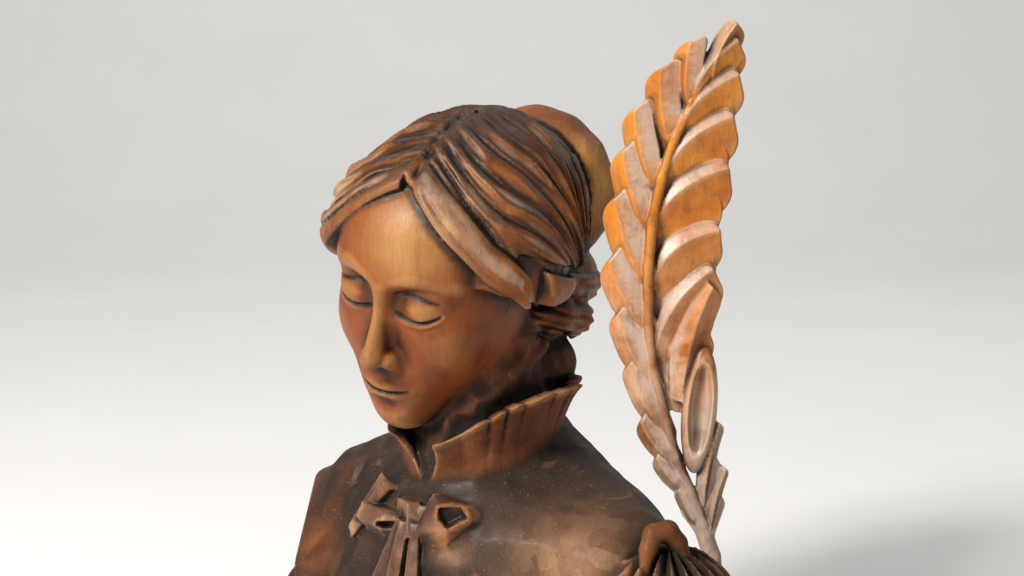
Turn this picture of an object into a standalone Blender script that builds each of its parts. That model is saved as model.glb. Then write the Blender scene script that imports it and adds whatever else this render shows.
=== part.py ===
"""Bust of a young saint with a palm frond, carved in wood.

The forms are modelled like clay: each is a function giving the distance, in millimetres, from any
point to its surface, and soft unions and cuts join them. The surface is then meshed and thinned.
The statue looks along -Y, its left hand side is +X, and its flat underside lies at z = 0.
"""

import bmesh
import bpy
import numpy as np
import openvdb

# ---- main sizes, in millimetres and degrees ----
HEAD_AT = (0.0, -25.0, 215.0)  # middle of the head, level with the brow
HEAD_SIZE = 0.94
HEAD_YAW, HEAD_PITCH, HEAD_ROLL = 7.0, 17.0, 10.0
CROWN = (56.0, 66.0, 51.5)  # half sizes of the hair over the skull
LOCK_DEPTH = 4.0
FRONT_LOCK = 4.2  # how far the lock along the hairline stands over the brow
# edges of the locks of hair, in degrees round the gathering point behind the ear
LOCK_EDGES = (-12, 14, 27, 37, 47, 57, 67, 77, 87, 97, 106, 115, 124, 132, 141)
BUN = (39.0, 31.0, 40.0)
BUN_GAP = 3.4  # groove between the bun and the hair in front of it
YOKE = (92.0, 45.0, 31.0)
COLLAR_Y = -9.0
COLLAR_FOOT_RADIUS, COLLAR_FLARE = 32.5, 8.5
COLLAR_FOLDS = 24
# heights of the collar's foot and rim, by the turn from its front in degrees
COLLAR_TURNS = (0, 20, 32, 45, 60, 90, 130, 180)
COLLAR_FOOT = (107, 112, 115, 117, 119, 122, 121, 121)
COLLAR_RIM = (126, 129, 134.5, 139.5, 144, 148, 148, 149)
FROND_FOOT = (101.0, 27.4, 84.0)
STEM_GAP = 0.9  # clearance between the stem and the sleeve it lies against

BUST_CELL, FROND_CELL = 1.6, 1.1
BUST_TRIANGLES, FROND_TRIANGLES = 6500, 3200


# ---- clay ----
def length(q):
    return np.sqrt(sum(v * v for v in q))


def ellipsoid(p, centre, radii):
    q = [(p[i] - centre[i]) / radii[i] for i in range(3)]
    k0 = length(q)
    k1 = length([q[i] / radii[i] for i in range(3)])
    return k0 * (k0 - 1) / np.maximum(k1, 1e-5)


def capsule(p, a, b, ra, rb):
    a, b = np.array(a, float), np.array(b, float)
    along = b - a
    q = [p[i] - a[i] for i in range(3)]
    t = sum(q[i] * along[i] for i in range(3)) / float(along @ along)
    t = np.clip(t, 0, 1)
    return length([q[i] - t * along[i] for i in range(3)]) - (ra + (rb - ra) * t)


def add(a, b, k):
    h = np.clip(0.5 + (0.5 / k) * (b - a), 0, 1)
    return b + (a - b) * h - k * h * (1 - h)


def cut(a, b, k):
    return -add(-a, b, k)


def keep(a, b, k):
    return -add(-a, -b, k)


def chain(p, points, radii, k=0):
    d = None
    for n in range(len(points) - 1):
        c = capsule(p, points[n], points[n + 1], radii[n], radii[n + 1])
        if d is None:
            d = c
        else:
            d = add(d, c, k) if k else np.minimum(d, c)
    return d


def mirrored(p):
    return np.stack([np.abs(p[0]), p[1], p[2]])


def rotation(yaw, pitch, roll):
    """Turned about Y by roll, then nodded about X by pitch, then turned about Z by yaw."""
    a, b, c = np.radians([yaw, pitch, roll])
    rz = np.array([[np.cos(a), -np.sin(a), 0], [np.sin(a), np.cos(a), 0], [0, 0, 1]])
    rx = np.array([[1, 0, 0], [0, np.cos(b), -np.sin(b)], [0, np.sin(b), np.cos(b)]])
    ry = np.array([[np.cos(c), 0, np.sin(c)], [0, 1, 0], [-np.sin(c), 0, np.cos(c)]])
    return rz @ rx @ ry


def into(p, origin, matrix):
    """The points as seen from a local frame."""
    return np.array(matrix, np.float32).T @ (p - np.array(origin, np.float32)[:, None])


# ---- head ----
def skull(p):
    s = mirrored(p)
    d = ellipsoid(p, (0, 6, 2), (46, 58, 46))
    d = add(d, ellipsoid(p, (0, -18.5, 9), (41.5, 38, 35)), 12)
    d = add(d, ellipsoid(p, (0, -22, -25), (38.5, 35, 49)), 14)
    d = add(d, ellipsoid(p, (0, -28, -48), (25, 27, 28)), 12)
    d = add(d, ellipsoid(s, (20, -40, -28), (14, 13, 16)), 12)
    d = add(d, ellipsoid(s, (24, -8, -40), (10, 14, 14)), 14)
    return add(d, ellipsoid(p, (0, -46.5, -67.5), (12.5, 11, 10.5)), 14)


def brow_and_nose(d, p):
    s = mirrored(p)
    d = add(d, chain(s, [(3, -54.5, 0), (17, -53, 5), (30, -43, 3)], [2.6, 2.6, 1.5]), 9)
    d = cut(d, ellipsoid(s, (17.5, -61.5, -5.5), (12.5, 9.5, 8)), 8)
    # the bridge is drawn in shallower space, which makes it narrow and tall
    q = np.stack([p[0], (p[1] + 54) * 0.55, p[2]])
    d = add(d, chain(q, [(0, 0.55, 1), (0, -1.9, -12), (0, -5.2, -30)], [2.9, 3.0, 4.5]), 4.5)
    d = add(d, ellipsoid(p, (0, -67, -32.6), (4.6, 5, 4.3)), 4)
    return add(d, ellipsoid(s, (6.1, -60, -34.4), (3.4, 6.2, 3.9)), 3)


def lips(d, p):
    s = mirrored(p)
    d = add(d, ellipsoid(p, (0, -44, -49), (19, 16, 16)), 10)
    upper = chain(s, [(0, -59.8, -49.6), (3.6, -60, -48.9), (12.5, -54.9, -50.8)], [2.6, 2.6, 1.1])
    lower = chain(s, [(0, -58.6, -54.6), (5, -57.8, -54.2), (11.5, -54.6, -52)], [3.3, 3.0, 1.1])
    d = add(add(d, upper, 2.6), lower, 2.8)
    across = np.clip(1 - (s[0] / 13.5) ** 2, 0, 1) * (p[1] < -45)
    d = d + 1.3 * np.exp(-(((p[2] + 51.9 - 0.9 * (s[0] / 13) ** 2) / 0.75) ** 2)) * across**0.5
    d = cut(d, ellipsoid(p, (0, -63, -60.5), (9, 5, 3.2)), 5)
    return cut(d, capsule(p, (0, -65, -41.5), (0, -64.4, -46), 1.6, 2.2), 2.5)


def eyes(d, p):
    """Lowered lids: a ball standing a little out of the socket, with the lid's edge and fold on it."""
    s = mirrored(p)
    d = add(d, ellipsoid(s, (17.2, -44.2, -9), (12.6, 12.6, 12.6)), 3)
    u = (s[0] - 17.2) / 11
    arc = np.clip(1 - u * u, 0, 1) * (s[1] < -40)
    edge = np.exp(-(((s[2] + 10.6 + 3.4 * arc - 0.5 * u) / 0.7) ** 2))
    rim = np.exp(-(((s[2] + 13.2 + 3.2 * arc - 0.5 * u) / 1.1) ** 2))
    fold = np.exp(-(((s[2] + 3.2 - 1.8 * arc + 1.2 * u) / 0.8) ** 2))
    return d + arc**0.4 * (1.25 * edge - 0.5 * rim + 0.7 * fold)


def hairline(p):
    """How far a point lies inside the hair's edge: a gable over the forehead, then down past the temple."""
    a = np.abs(p[0])
    over_face = 0.682 * a + 0.035 * p[1] + 0.731 * p[2] - 35.5 + 1.5 * (p[0] < 0)
    over_face = over_face + 0.6 * np.maximum(p[1] + 34, 0)
    past_temple = 0.69 * (p[2] + 8) + 0.72 * (p[1] + 21.6) + 0.6 * (np.minimum(a, 46) - 43) + 5 * (p[0] < 0)
    return -add(-over_face, -past_temple, 6)


def hair_mass(p):
    narrow = np.stack([p[0] * np.where(p[0] < 0, 1.05, 1), p[1], p[2]])
    d = ellipsoid(narrow, (0, 8, 4), CROWN)
    return add(d, ellipsoid(mirrored(narrow), (42, -6, 2), (19, 32, 28)), 12)


def lock_turns(p):
    """Turn, in degrees, of a point of the hair round the gathering point of its side."""
    a = np.abs(p[0])
    turn = np.degrees(np.arctan2(p[2] + 22, 20 - p[1]))
    inside = hairline(p)
    along_edge = np.exp(-((inside / 24) ** 2))
    turn = turn + along_edge * (22 + 1.15 * inside - turn)
    sway = np.sin(a * 0.10 + np.sign(p[0]) * 1.3 + turn * 0.06)
    return turn + 0.16 * (a - 25) + 2.2 * sway


def lock_relief(p):
    """1 on the crest of a lock of hair and 0 in the grooves beside it."""
    a = np.abs(p[0])
    turn = lock_turns(p)
    relief = np.zeros_like(turn)
    for n in range(len(LOCK_EDGES) - 1):
        u = (turn - LOCK_EDGES[n]) / (LOCK_EDGES[n + 1] - LOCK_EDGES[n])
        crest = np.clip(np.minimum(u / 0.72, (1 - u) / 0.28), 0, 1) ** 0.75
        swell = 0.78 + 0.22 * np.sin(a * 0.09 + n * 2.1)
        relief = np.where((u >= 0) & (u < 1), crest * swell, relief)
    return relief


def hair(p):
    a = np.abs(p[0])
    inside = hairline(p)
    rise = np.sqrt(np.clip(1 - np.clip(1 - inside / 5, 0, 1) ** 2, 0, 1))
    near_side = 1 - 0.4 * np.clip(-p[0] / 20, 0, 1)
    lift = FRONT_LOCK * rise * np.exp(-np.maximum(inside - 10, 0) / 35) * near_side
    locks = LOCK_DEPTH * (1 - lock_relief(p)) * np.clip((a - 2) / 10, 0.25, 1)
    side_parting = np.exp(-(((inside - 15.5) / 1.5) ** 2)) * np.clip((a - 5) / 6, 0, 1)
    d = hair_mass(p) - lift + locks * np.clip((inside - 14.5) / 1.5, 0, 1) + 2.2 * side_parting
    parting = np.exp(-(((p[0] + 2 + 0.2 * p[1] - 0.8 * np.sin(p[1] * 0.2)) / 2.2) ** 2))
    d = d + (2.6 + 0.8 * np.sin(p[1] * 0.55)) * parting * np.clip((42 - p[1]) / 10, 0, 1)
    d = keep(d, -inside, 1.2)
    d = keep(d, add(-over_nape(p), p[1] + 25, 3), 3)
    return cut(d, bun(p) - BUN_GAP, 0.8)


def over_nape(p):
    """Height above the line where the locks end, which sinks from the temple to the nape."""
    return p[2] - 1 + 0.62 * (p[1] - 0.2 * np.maximum(p[1] - 30, 0))


def nape_roll(p):
    """The hair swept under the bun: a raised band, a second one below it, and loose ends at both sides."""
    sunk = np.stack([p[0], p[1], p[2] + 0.3 * (p[1] - 44)])
    d = add(hair_mass(p), ellipsoid(sunk, (0, 47, -38), (40, 43, 27)), 8)
    below = -over_nape(p) / 1.177
    behind = np.clip((p[1] - 30) / 30, 0, 1)
    upper = d + 1 - (4 - 1.5 * behind) * np.sqrt(np.clip(1 - ((below - 12) / 8) ** 2, 0, 1))
    upper = keep(upper, np.maximum(np.maximum(4 - below, below - 20), -14 - p[1]), 1.2)
    lower = d + 3.5 - 3.5 * np.sqrt(np.clip(1 - ((below - 27) / 7) ** 2, 0, 1))
    lower = keep(lower, np.maximum(np.maximum(20.5 - below, below - 34), 12 - p[1]), 2)
    core = keep(d + 3.5 - 3 * behind, below - 34, 4)
    core = np.maximum(core, np.minimum(below - 20, 14 - p[1]))
    ends = chain(mirrored(p), [(35, 8, -39), (39, 26, -44), (38, 40, -51), (32, 48, -66)], [4.5, 8, 9, 4], 5)
    core = add(add(core, ends, 7), ellipsoid(p, (0, 26, -46), (39, 32, 18)), 5)
    d = cut(np.minimum(add(upper, lower, 0.6), core), bun(p) - BUN_GAP * (1 - behind), 0.8)
    return d


def bun(p):
    turn = np.degrees(np.arctan2(p[2] + 5, p[0]))
    ripple = np.abs((turn / 30 + 0.15) % 1 - 0.5) * 2
    return ellipsoid(p, (0, 71, -5), BUN) + 0.8 * ripple


def head_parts(p):
    q = into(p, HEAD_AT, rotation(HEAD_YAW, HEAD_PITCH, HEAD_ROLL)) / HEAD_SIZE
    face = eyes(lips(brow_and_nose(skull(q), q), q), q)
    return [part * HEAD_SIZE for part in (face, hair(q), bun(q), nape_roll(q))]


def head(p):
    face, locks, knot, roll = head_parts(p)
    seated = 2 + 26 * np.clip((p[1] - 42) / 22, 0, 1) * np.clip((2 - p[2]) / 22, 0, 1)
    return add(add(add(face, locks, 0.5), roll, 0.8), knot, seated)




# ---- neck, collar and dress ----
def neck(p):
    d = chain(p, [(0, -4, 96), (0, -8, 130), (0, -14, 158), (1, -16, 182)], [31, 32.5, 30, 28], 6)
    sinew = [(27, 2, 166), (28.5, -19, 157), (24.8, -27.5, 149.5), (17.5, -33.5, 143), (8.5, -38, 136)]
    d = add(d, chain(mirrored(p), sinew, [3.5, 4.6, 4.6, 4.2, 3], 1), 2.5)
    d = add(d, chain(p, [(0, 14, 150), (0, 16, 172)], [18, 20], 4), 8)
    d = add(d, ellipsoid(p, (0, 15, 153), (27, 26, 18)), 5)
    return d


def collar(p):
    """A standing collar with a flared, folded rim, higher behind and open in front."""
    y = p[1] - COLLAR_Y
    r = np.sqrt(p[0] * p[0] + y * y)
    turn = np.degrees(np.arctan2(p[0], -y))
    foot = np.interp(np.abs(turn), COLLAR_TURNS, COLLAR_FOOT).astype(np.float32)
    rim = np.interp(np.abs(turn), COLLAR_TURNS, COLLAR_RIM).astype(np.float32)
    u = turn * (COLLAR_FOLDS / 360) + 0.3 * np.sin(turn * 0.11)
    rim = rim + 0.9 * np.sin(5.3 * np.floor(u))
    up = (p[2] - foot) / (rim - foot)
    climb = np.clip(up, -0.4, 1.3)
    fold = np.abs(u % 1 - 0.5) * 2
    flare = COLLAR_FLARE * climb * np.abs(climb) ** 0.5 + 2.4 * np.clip(climb, 0.1, 1) * (0.5 - fold**2)
    thick = 2.2 + 1.5 * np.clip((up - 0.72) / 0.28, 0, 1) ** 2
    wall = np.abs(r - COLLAR_FOOT_RADIUS - flare) - thick
    d = keep(wall * 0.85, (p[2] - rim - 1.4 * (0.5 - fold)) * 0.8, 1.2)
    d = np.maximum(d, foot - 9 - p[2])
    gap = 2.5 + 9 * np.clip(up, 0, 1) - np.abs(p[0])
    return np.where(p[1] < COLLAR_Y, keep(d, gap * 0.8, 1), d)


def torso(p):
    s = mirrored(p)
    d = ellipsoid(p, (5, -6, 80), YOKE)
    d = add(d, ellipsoid(p, (79, -8, 78), (23, 31, 25)), 10)
    d = add(d, ellipsoid(p, (-74, -4, 68), (22, 30, 25)), 10)
    d = add(d, ellipsoid(p, (0, 2, 14), (88, 60, 98)), 14)
    d = add(d, ellipsoid(s, (26, -34, 28), (40, 35, 42)), 22)
    d = add(d, capsule(p, (0, -6, 82), (0, -9, 114), 50, 34), 16)
    d = add(d, chain(p, [(-70, -8, 84), (-42, 0, 96), (0, 16, 106), (56, 10, 85)], [22, 25, 29, 22]), 18)
    d = add(d, capsule(p, (81, -8, 70), (90, -12, 0), 26, 33), 10)
    d = add(d, capsule(p, (-78, -8, 62), (-92, -14, 0), 22, 33), 10)
    return d


def puff(p, centre, radii, folds, depth):
    """A gathered sleeve: an egg with folds running down from the gathers at its top."""
    turn = np.arctan2(p[1] - centre[1], p[0] - centre[0]) / (2 * np.pi)
    u = (turn * folds + 0.01 * (p[2] - centre[2])) % 1
    crest = np.minimum(u / 0.35, (1 - u) / 0.65)
    rise = np.clip((p[2] - centre[2] + 10) / radii[2], 0, 1)
    return ellipsoid(p, centre, radii) + depth * (0.6 - crest) * (0.25 + 0.75 * rise)


def planes(p, faces, k=0.7):
    """A solid bounded by flat faces, each given as (x, y, z, distance)."""
    d = None
    for x, y, z, away in faces:
        n = (x * x + y * y + z * z) ** 0.5
        face = (p[0] * x + p[1] * y + p[2] * z) / n - away
        d = face if d is None else keep(d, face, k)
    return d


def tail(p, foot, tip, wide, lean):
    """A flat ribbon end lying down the chest, folded along its middle and cut at a slant."""
    foot, tip = np.array(foot, float), np.array(tip, float)
    down = tip - foot
    long = float(np.linalg.norm(down))
    down = down / long
    out = np.array([-0.6 * np.sin(np.radians(lean)), -1, 0])
    out = out - down * (out @ down)
    out = out / np.linalg.norm(out)
    q = into(p, (foot + tip) / 2, np.stack([np.cross(down, out), -out, -down], axis=1))
    half = wide * (0.72 - 0.5 * q[2] / long)
    ridge = 0.45 * np.abs(q[0] - 0.15 * wide) - q[1] - 4
    d = np.maximum(np.maximum(np.abs(q[0]) - half, ridge), q[1] - 7)
    return keep(d, planes(q, [(0, 0, 1, long * 0.5 + 3), (0.7, 0, -1, long * 0.42)]), 0.6)


BOW_TAILS = [((-3, -55, 90), (-19, -64, 44), 5.5, 14), ((1, -57, 90), (-3, -70, 36), 5.5, 4),
             ((6, -55, 89), (14, -69, 46), 4.6, -16)]


def bow(p):
    # in each local frame x runs across, y into the chest and z up, as seen from the left front
    seen = np.array([(0.731, -0.672, -0.118), (0.682, 0.720, 0.127), (0, -0.174, 0.985)])
    q = into(p, (21.5, -49, 94), seen)
    right = planes(q, [(0.3, -0.75, -0.59, 6.4), (-0.51, -0.75, -0.42, 7.2), (-0.8, -0.35, 0.5, 10.2),
                       (0.05, -0.35, 0.93, 8.3), (0.47, -0.5, 0.7, 10.8), (0.58, -0.78, 0.22, 10.7),
                       (0, 1, 0, 9)], 0.5)
    hollow = planes(q, [(-0.11, 0.3, 0.95, 6.4), (0.93, 0.3, 0.35, 4.6), (0.45, 0.3, -0.89, -1.7),
                        (-0.77, 0.3, -0.64, 1.3), (-0.98, 0.3, -0.2, 3.4), (0, 1, 0, -1.5)], 0.5)
    right = cut(right, hollow, 0.8)
    q = into(p, (-16.4, -49, 88), seen)
    left = planes(q, [(-0.1, -0.8, 0.6, 7.6), (-0.75, -0.55, 0.3, 8.2), (-0.2, -0.75, -0.63, 7.2),
                      (-0.6, -0.3, -0.6, 7.2), (0, -0.2, 1, 6.4), (1, 0, 0, 8), (0, 1, 0, 9)], 0.5)
    left = cut(left, ellipsoid(q, (-1.5, -8, -0.8), (7.5, 5.5, 1.7)), 0.7)
    q = into(p, (-23, -44.2, 101), seen)
    upper = planes(q, [(0.2, -0.8, 0.5, 5), (-0.5, -0.75, -0.1, 5.2), (0.2, -0.7, -0.6, 4.6),
                       (-0.8, -0.2, 0.5, 4.8), (0.5, 0, 0.85, 3.6), (0.9, 0, -0.3, 7.5), (0, 1, 0, 9)], 0.5)
    q = into(p, (1, -49.6, 92), seen)
    knot = planes(q, [(0.1, -0.9, 0.3, 7.5), (-1, -0.35, 0.12, 7.4), (0.5, -0.8, 0.1, 7),
                      (0, -0.1, 1, 8.5), (0, -0.4, -1, 10), (1, 0, -0.1, 0.3), (0, 1, 0, 8)], 0.5)
    second = planes(q, [(-0.2, -0.9, 0.2, 7.2), (1, -0.4, -0.1, 8.6), (-1, 0, 0.1, 0.6), (0, -0.1, 1, 7.5),
                        (0.2, -0.4, -1, 11.5), (0, 1, 0, 8)], 0.5)
    d = add(knot, second, 0.4)
    for loop in (right, left, upper):
        d = add(d, loop, 0.5)
    for foot, tip, wide, lean in BOW_TAILS:
        d = add(d, tail(p, foot, tip, wide, lean), 0.6)
    return d


def sleeves(p):
    d = puff(p, (110, -11, 31), (34, 44, 61), 17, 5.5)
    hook = [(111, -27, 84), (109, -23, 94), (108.5, -19, 100), (112, -14, 101), (115, -11, 96), (118, -9, 86)]
    d = add(d, chain(p, hook, [2.5, 3.8, 4.4, 4.6, 4, 3], 1), 1)
    far = puff(p, (-94, -8, 2), (29, 39, 52), 15, 4.5)
    flat = planes(p - np.array([[-79], [-22], [54]], np.float32),
                  [(-0.35, -0.8, 0.5, 24), (-0.8, -0.5, 0.05, 17), (0.35, -0.9, 0.1, 24), (-0.35, -0.1, 0.93, 41),
                   (-0.45, -0.86, -0.2, 26), (1, -0.1, 0.1, 27), (-1, 0, 0.1, 27), (0, 1, 0, 20), (0, 0, -1, 70)], 3)
    return np.minimum(d, add(far, flat, 5))


def leaflet_axes(q, row, side):
    """Distance to a leaflet's outline, its place across from -1 to 1 at the lower edge, and along."""
    u0, v0, u1, v1, half = row[:5]
    long, along, across = blade_axes(q, u0, v0, u1, v1)
    bend = 0.2 if side > 0 else -0.34
    t = along / long
    b = -side * across - bend * half * (1 - (2 * t - 1) ** 2)
    edge = np.abs(b) - half * np.clip(0.62 + 0.8 * t, 0.3, 1)
    tip = 0.9 * (along - long - 1) + 0.44 * b
    return keep(keep(edge, tip, 0.7 * half), -along - 2, 2), b / half, np.clip(t, 0, 1)


def bust(p):
    d = add(torso(p), sleeves(p), 2)
    d = add(d, bow(p), 0.8)
    d = add(d, neck(p), 3)
    d = add(d, collar(p), 1.2)
    d = add(d, head(p), 3)
    return cut(d, stem(p) - STEM_GAP, 0.6)


# ---- frond, drawn in its own plane: u across, v up and w towards the viewer ----
RIB = [(6, -96, 12), (6, -72, 6.5), (5, -50, 3.2), (4, -28, 2.6), (1.4, -4.6, 0.5), (-3.3, 10, 0.4), (-9, 24, 1.2),
       (-15.5, 40, 2), (-20.6, 60, 2.5), (-25.6, 80, 3), (-27.6, 101, 3.5), (-27.6, 123, 4), (-26, 142, 4),
       (-22.5, 160, 4), (-17, 177, 3.8), (-10, 192, 3.4), (-2, 206, 3), (6, 218, 2)]

RIB_RADII = [4.3, 4.2, 4.1, 4.0, 3.9, 3.8, 3.2, 2.8, 2.5, 2.4, 2.5, 2.6, 2.6, 2.5, 2.3, 2.0, 1.6, 1.0]

# foot u and v, tip u and v, half width, where the crest lies across, lift
LEFT_LEAFLETS = [
    (-4, 8, -13, 25, 3.2, 0.1, -0.8), (-11, 25, -22.5, 40, 4.4, 0.1, -0.2), (-15, 37, -29, 56, 5.4, 0.15, 0),
    (-19.5, 50, -34, 81, 6, 0.15, 0), (-24, 70, -39, 103, 7, 0.15, 0.2), (-26, 93, -42.5, 126, 8.2, 0.15, 0.2),
    (-27.5, 114, -40.5, 152, 8.2, 0.15, 0.2), (-27, 136, -37.5, 172, 7.6, 0.15, 0.2), (-24, 154, -33, 189, 7, 0.15, 0.2),
    (-18, 174, -22, 206, 7.4, 0.15, 0.2), (-11, 190, -10, 217, 6.4, 0.15, 0.2)]

RIGHT_LEAFLETS = [
    (0, 6, 6, 34, 3.2, 0.2, -1.0), (-3, 20, 3, 54, 4.0, 0.2, -0.6), (-13, 66, -1, 114, 8, 0.1, 0.6),
    (-20, 84, 1.5, 117, 10.5, -0.5, 0), (-22, 112, 2.5, 133, 12, -0.5, 0), (-21.5, 135, 6, 159, 12.5, -0.5, 0),
    (-18, 155, 8, 181, 12, -0.5, 0), (-13, 174, 10, 199, 10.5, -0.5, 0), (-7, 189, 10, 214, 8.5, -0.5, 0),
    (0, 200, 9, 223, 5.8, -0.3, 0)]

def frond_plane(p):
    x, y = p[0] - FROND_FOOT[0], p[1] - FROND_FOOT[1]
    return np.stack([0.731 * x + 0.682 * y, p[2] - FROND_FOOT[2], 0.682 * x - 0.731 * y])


def stem(p):
    return chain(frond_plane(p), RIB[:7], RIB_RADII[:7], 1)


def blade_axes(q, u0, v0, u1, v1):
    long = float(np.hypot(u1 - u0, v1 - v0))
    eu, ev = (u1 - u0) / long, (v1 - v0) / long
    along = (q[0] - u0) * eu + (q[1] - v0) * ev
    return long, along, (q[0] - u0) * ev - (q[1] - v0) * eu


def leaflet(q, row, side):
    """A thin blade, cut at a slant at its tip, with a crest along it, springing from the rib."""
    crest, lift = row[5:]
    outline, b, t = leaflet_axes(q, row, side)
    lower = np.clip((1 - b) / (1 - crest), 0, 1)
    upper = np.clip((1 + b) / (1 + crest), 0, 1)
    if side > 0:
        roof = np.minimum(lower, 0.66 + 0.34 * upper)
    else:
        roof = np.minimum(lower**1.5, 0.15 + 0.85 * upper)
    middle = lift - 1.1 + 5 * roof * (0.55 + 0.45 * np.clip(t / 0.3, 0, 1)) + 2 * t * (1 - t)
    front, back = middle + 1.7, 0.35 * middle - 1.3
    return keep(outline, 0.7 * np.maximum(q[2] - front, back - q[2]), 0.8)


def web(q):
    """The thin plate that joins the leaflets to the rib."""
    d = None
    flat = np.stack([q[0], q[1], 0 * q[2]])
    for n, row in enumerate(LEFT_LEAFLETS + RIGHT_LEAFLETS):
        u0, v0, u1, v1, half = row[:5]
        far = 0.62 if 2 < n < len(LEFT_LEAFLETS) else 0.45
        middle = (u0 + far * (u1 - u0), v0 + far * (v1 - v0), 0)
        c = capsule(flat, (u0, v0, 0), middle, 0.85 * half, 0.95 * half + 1)
        d = c if d is None else add(d, c, 2)
    return keep(d, 0.9 * (np.abs(q[2] - 0.2) - 1.8), 0.8)


def spear(q):
    """The long hollow leaf low on the right."""
    long, along, across = blade_axes(q, -7, 34, -3, 87)
    local = np.stack([across, along - long * 0.5, q[2] - 3])
    body = ellipsoid(local, (0, 0, 0), (7.6, long * 0.52, 5))
    return cut(body, ellipsoid(local, (0, 1, 5), (5, long * 0.4, 5.5)), 0.8)


def frond(p):
    q = frond_plane(p)
    d = chain(q, RIB, RIB_RADII, 1)
    d = add(d, web(q), 1)
    for row in LEFT_LEAFLETS:
        d = add(d, leaflet(q, row, 1), 0.5)
    for row in RIGHT_LEAFLETS:
        d = add(d, leaflet(q, row, -1), 0.5)
    return add(d, spear(q), 0.5)


# ---- meshing ----
def evaluate(field, points, chunk=400000):
    out = np.empty(len(points), np.float32)
    for start in range(0, len(points), chunk):
        some = np.ascontiguousarray(points[start : start + chunk].T, dtype=np.float32)
        out[start : start + chunk] = field(some)
    return out


def surface(field, low, high, cell):
    """Points and quads where the field is 0, from a grid worked out only near the surface."""
    block = 4
    low = np.array(low, float)
    n = np.ceil((np.array(high) - low) / (cell * block**2)).astype(int) * block**2 + 1
    kept = np.ones((n - 1) // block**2, bool)
    values = np.zeros(kept.shape, np.float32)
    for step in (block**2, block):
        index = np.argwhere(kept)
        d = evaluate(field, (index + 0.5) * step * cell + low)
        values[tuple(index.T)] = d
        kept[tuple(index.T)] = np.abs(d) < step * cell * 1.65 + 2
        kept, values = (np.kron(v, np.ones((block,) * 3, v.dtype)) for v in (kept, values))
    need = np.zeros(n, bool)
    full = np.zeros(n, np.float32)
    for corner in np.ndindex(2, 2, 2):
        part = tuple(slice(c, m - 1 + c) for c, m in zip(corner, n))
        need[part] |= kept
        full[part] = np.where(kept, full[part], values)
    index = np.argwhere(need)
    full[tuple(index.T)] = evaluate(field, index * cell + low)
    grid = openvdb.FloatGrid(background=float(cell * block**2))
    grid.copyFromArray(full)
    points, quads = grid.convertToQuads(isovalue=0.0)
    return points * cell + low, quads


def settled(field, points):
    """The points moved onto the surface."""
    slope = np.empty((len(points), 3), np.float32)
    for axis in range(3):
        step = np.zeros(3)
        step[axis] = 0.25
        slope[:, axis] = (evaluate(field, points + step) - evaluate(field, points - step)) / 0.5
    d = evaluate(field, points)
    return points - slope * (d / np.maximum((slope * slope).sum(1), 0.2))[:, None]


def largest_only(bm):
    """Drops every stray body but the largest."""
    unseen = set(bm.verts)
    bodies = []
    while unseen:
        front = [unseen.pop()]
        body = []
        while front:
            vert = front.pop()
            body.append(vert)
            for edge in vert.link_edges:
                other = edge.other_vert(vert)
                if other in unseen:
                    unseen.remove(other)
                    front.append(other)
        bodies.append(body)
    bodies.sort(key=len)
    stray = [vert for body in bodies[:-1] for vert in body]
    bmesh.ops.delete(bm, geom=stray, context="VERTS")


def carved(name, field, low, high, cell, triangles, material):
    points, quads = surface(field, low, high, cell)
    points = settled(field, points)
    mesh = bpy.data.meshes.new(name)
    mesh.from_pydata((points * 0.001).tolist(), [], quads.tolist())
    obj = bpy.data.objects.new(name, mesh)
    bpy.context.scene.collection.objects.link(obj)
    thin = obj.modifiers.new("Thin", "DECIMATE")
    thin.ratio = triangles / (2 * len(quads))
    thin.use_collapse_triangulate = True
    depsgraph = bpy.context.evaluated_depsgraph_get()
    thinned = bpy.data.meshes.new_from_object(obj.evaluated_get(depsgraph))
    obj.modifiers.clear()
    obj.data = thinned
    thinned.name = name
    bm = bmesh.new()
    bm.from_mesh(thinned)
    largest_only(bm)
    everything = bm.verts[:] + bm.edges[:] + bm.faces[:]
    cutting = bmesh.ops.bisect_plane(
        bm, geom=everything, dist=1e-7, plane_co=(0, 0, 0), plane_no=(0, 0, -1), clear_outer=True
    )
    rim = [e for e in cutting["geom_cut"] if isinstance(e, bmesh.types.BMEdge)]
    bmesh.ops.holes_fill(bm, edges=rim, sides=0)
    bmesh.ops.triangulate(bm, faces=bm.faces[:])
    bmesh.ops.recalc_face_normals(bm, faces=bm.faces[:])
    bm.to_mesh(thinned)
    bm.free()
    thinned.materials.append(material)
    return obj


def wood(name, colour, roughness):
    material = bpy.data.materials.new(name)
    material.use_nodes = True
    shader = material.node_tree.nodes["Principled BSDF"]
    shader.inputs["Base Color"].default_value = (*colour, 1)
    shader.inputs["Roughness"].default_value = roughness
    shader.inputs["Metallic"].default_value = 0
    return material


for old in list(bpy.data.objects):
    bpy.data.objects.remove(old)

stained = wood("stained_wood", (0.21, 0.085, 0.03), 0.4)
honey = wood("honey_wood", (0.42, 0.17, 0.055), 0.35)

carved("saint_bust", bust, (-165, -110, -12), (175, 112, 300), BUST_CELL, BUST_TRIANGLES, stained)
carved("palm_frond", frond, (60, -30, -12), (165, 75, 320), FROND_CELL, FROND_TRIANGLES, honey)
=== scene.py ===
"""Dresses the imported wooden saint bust: fine carving, stained wood, camera, lights and stage.

The forms are modelled like clay: each is a function giving the distance, in millimetres, from any
point to its surface, and soft unions and cuts join them.
"""

import math

import bmesh
import bpy
import numpy as np
import openvdb
from mathutils import Matrix, Vector


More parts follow.
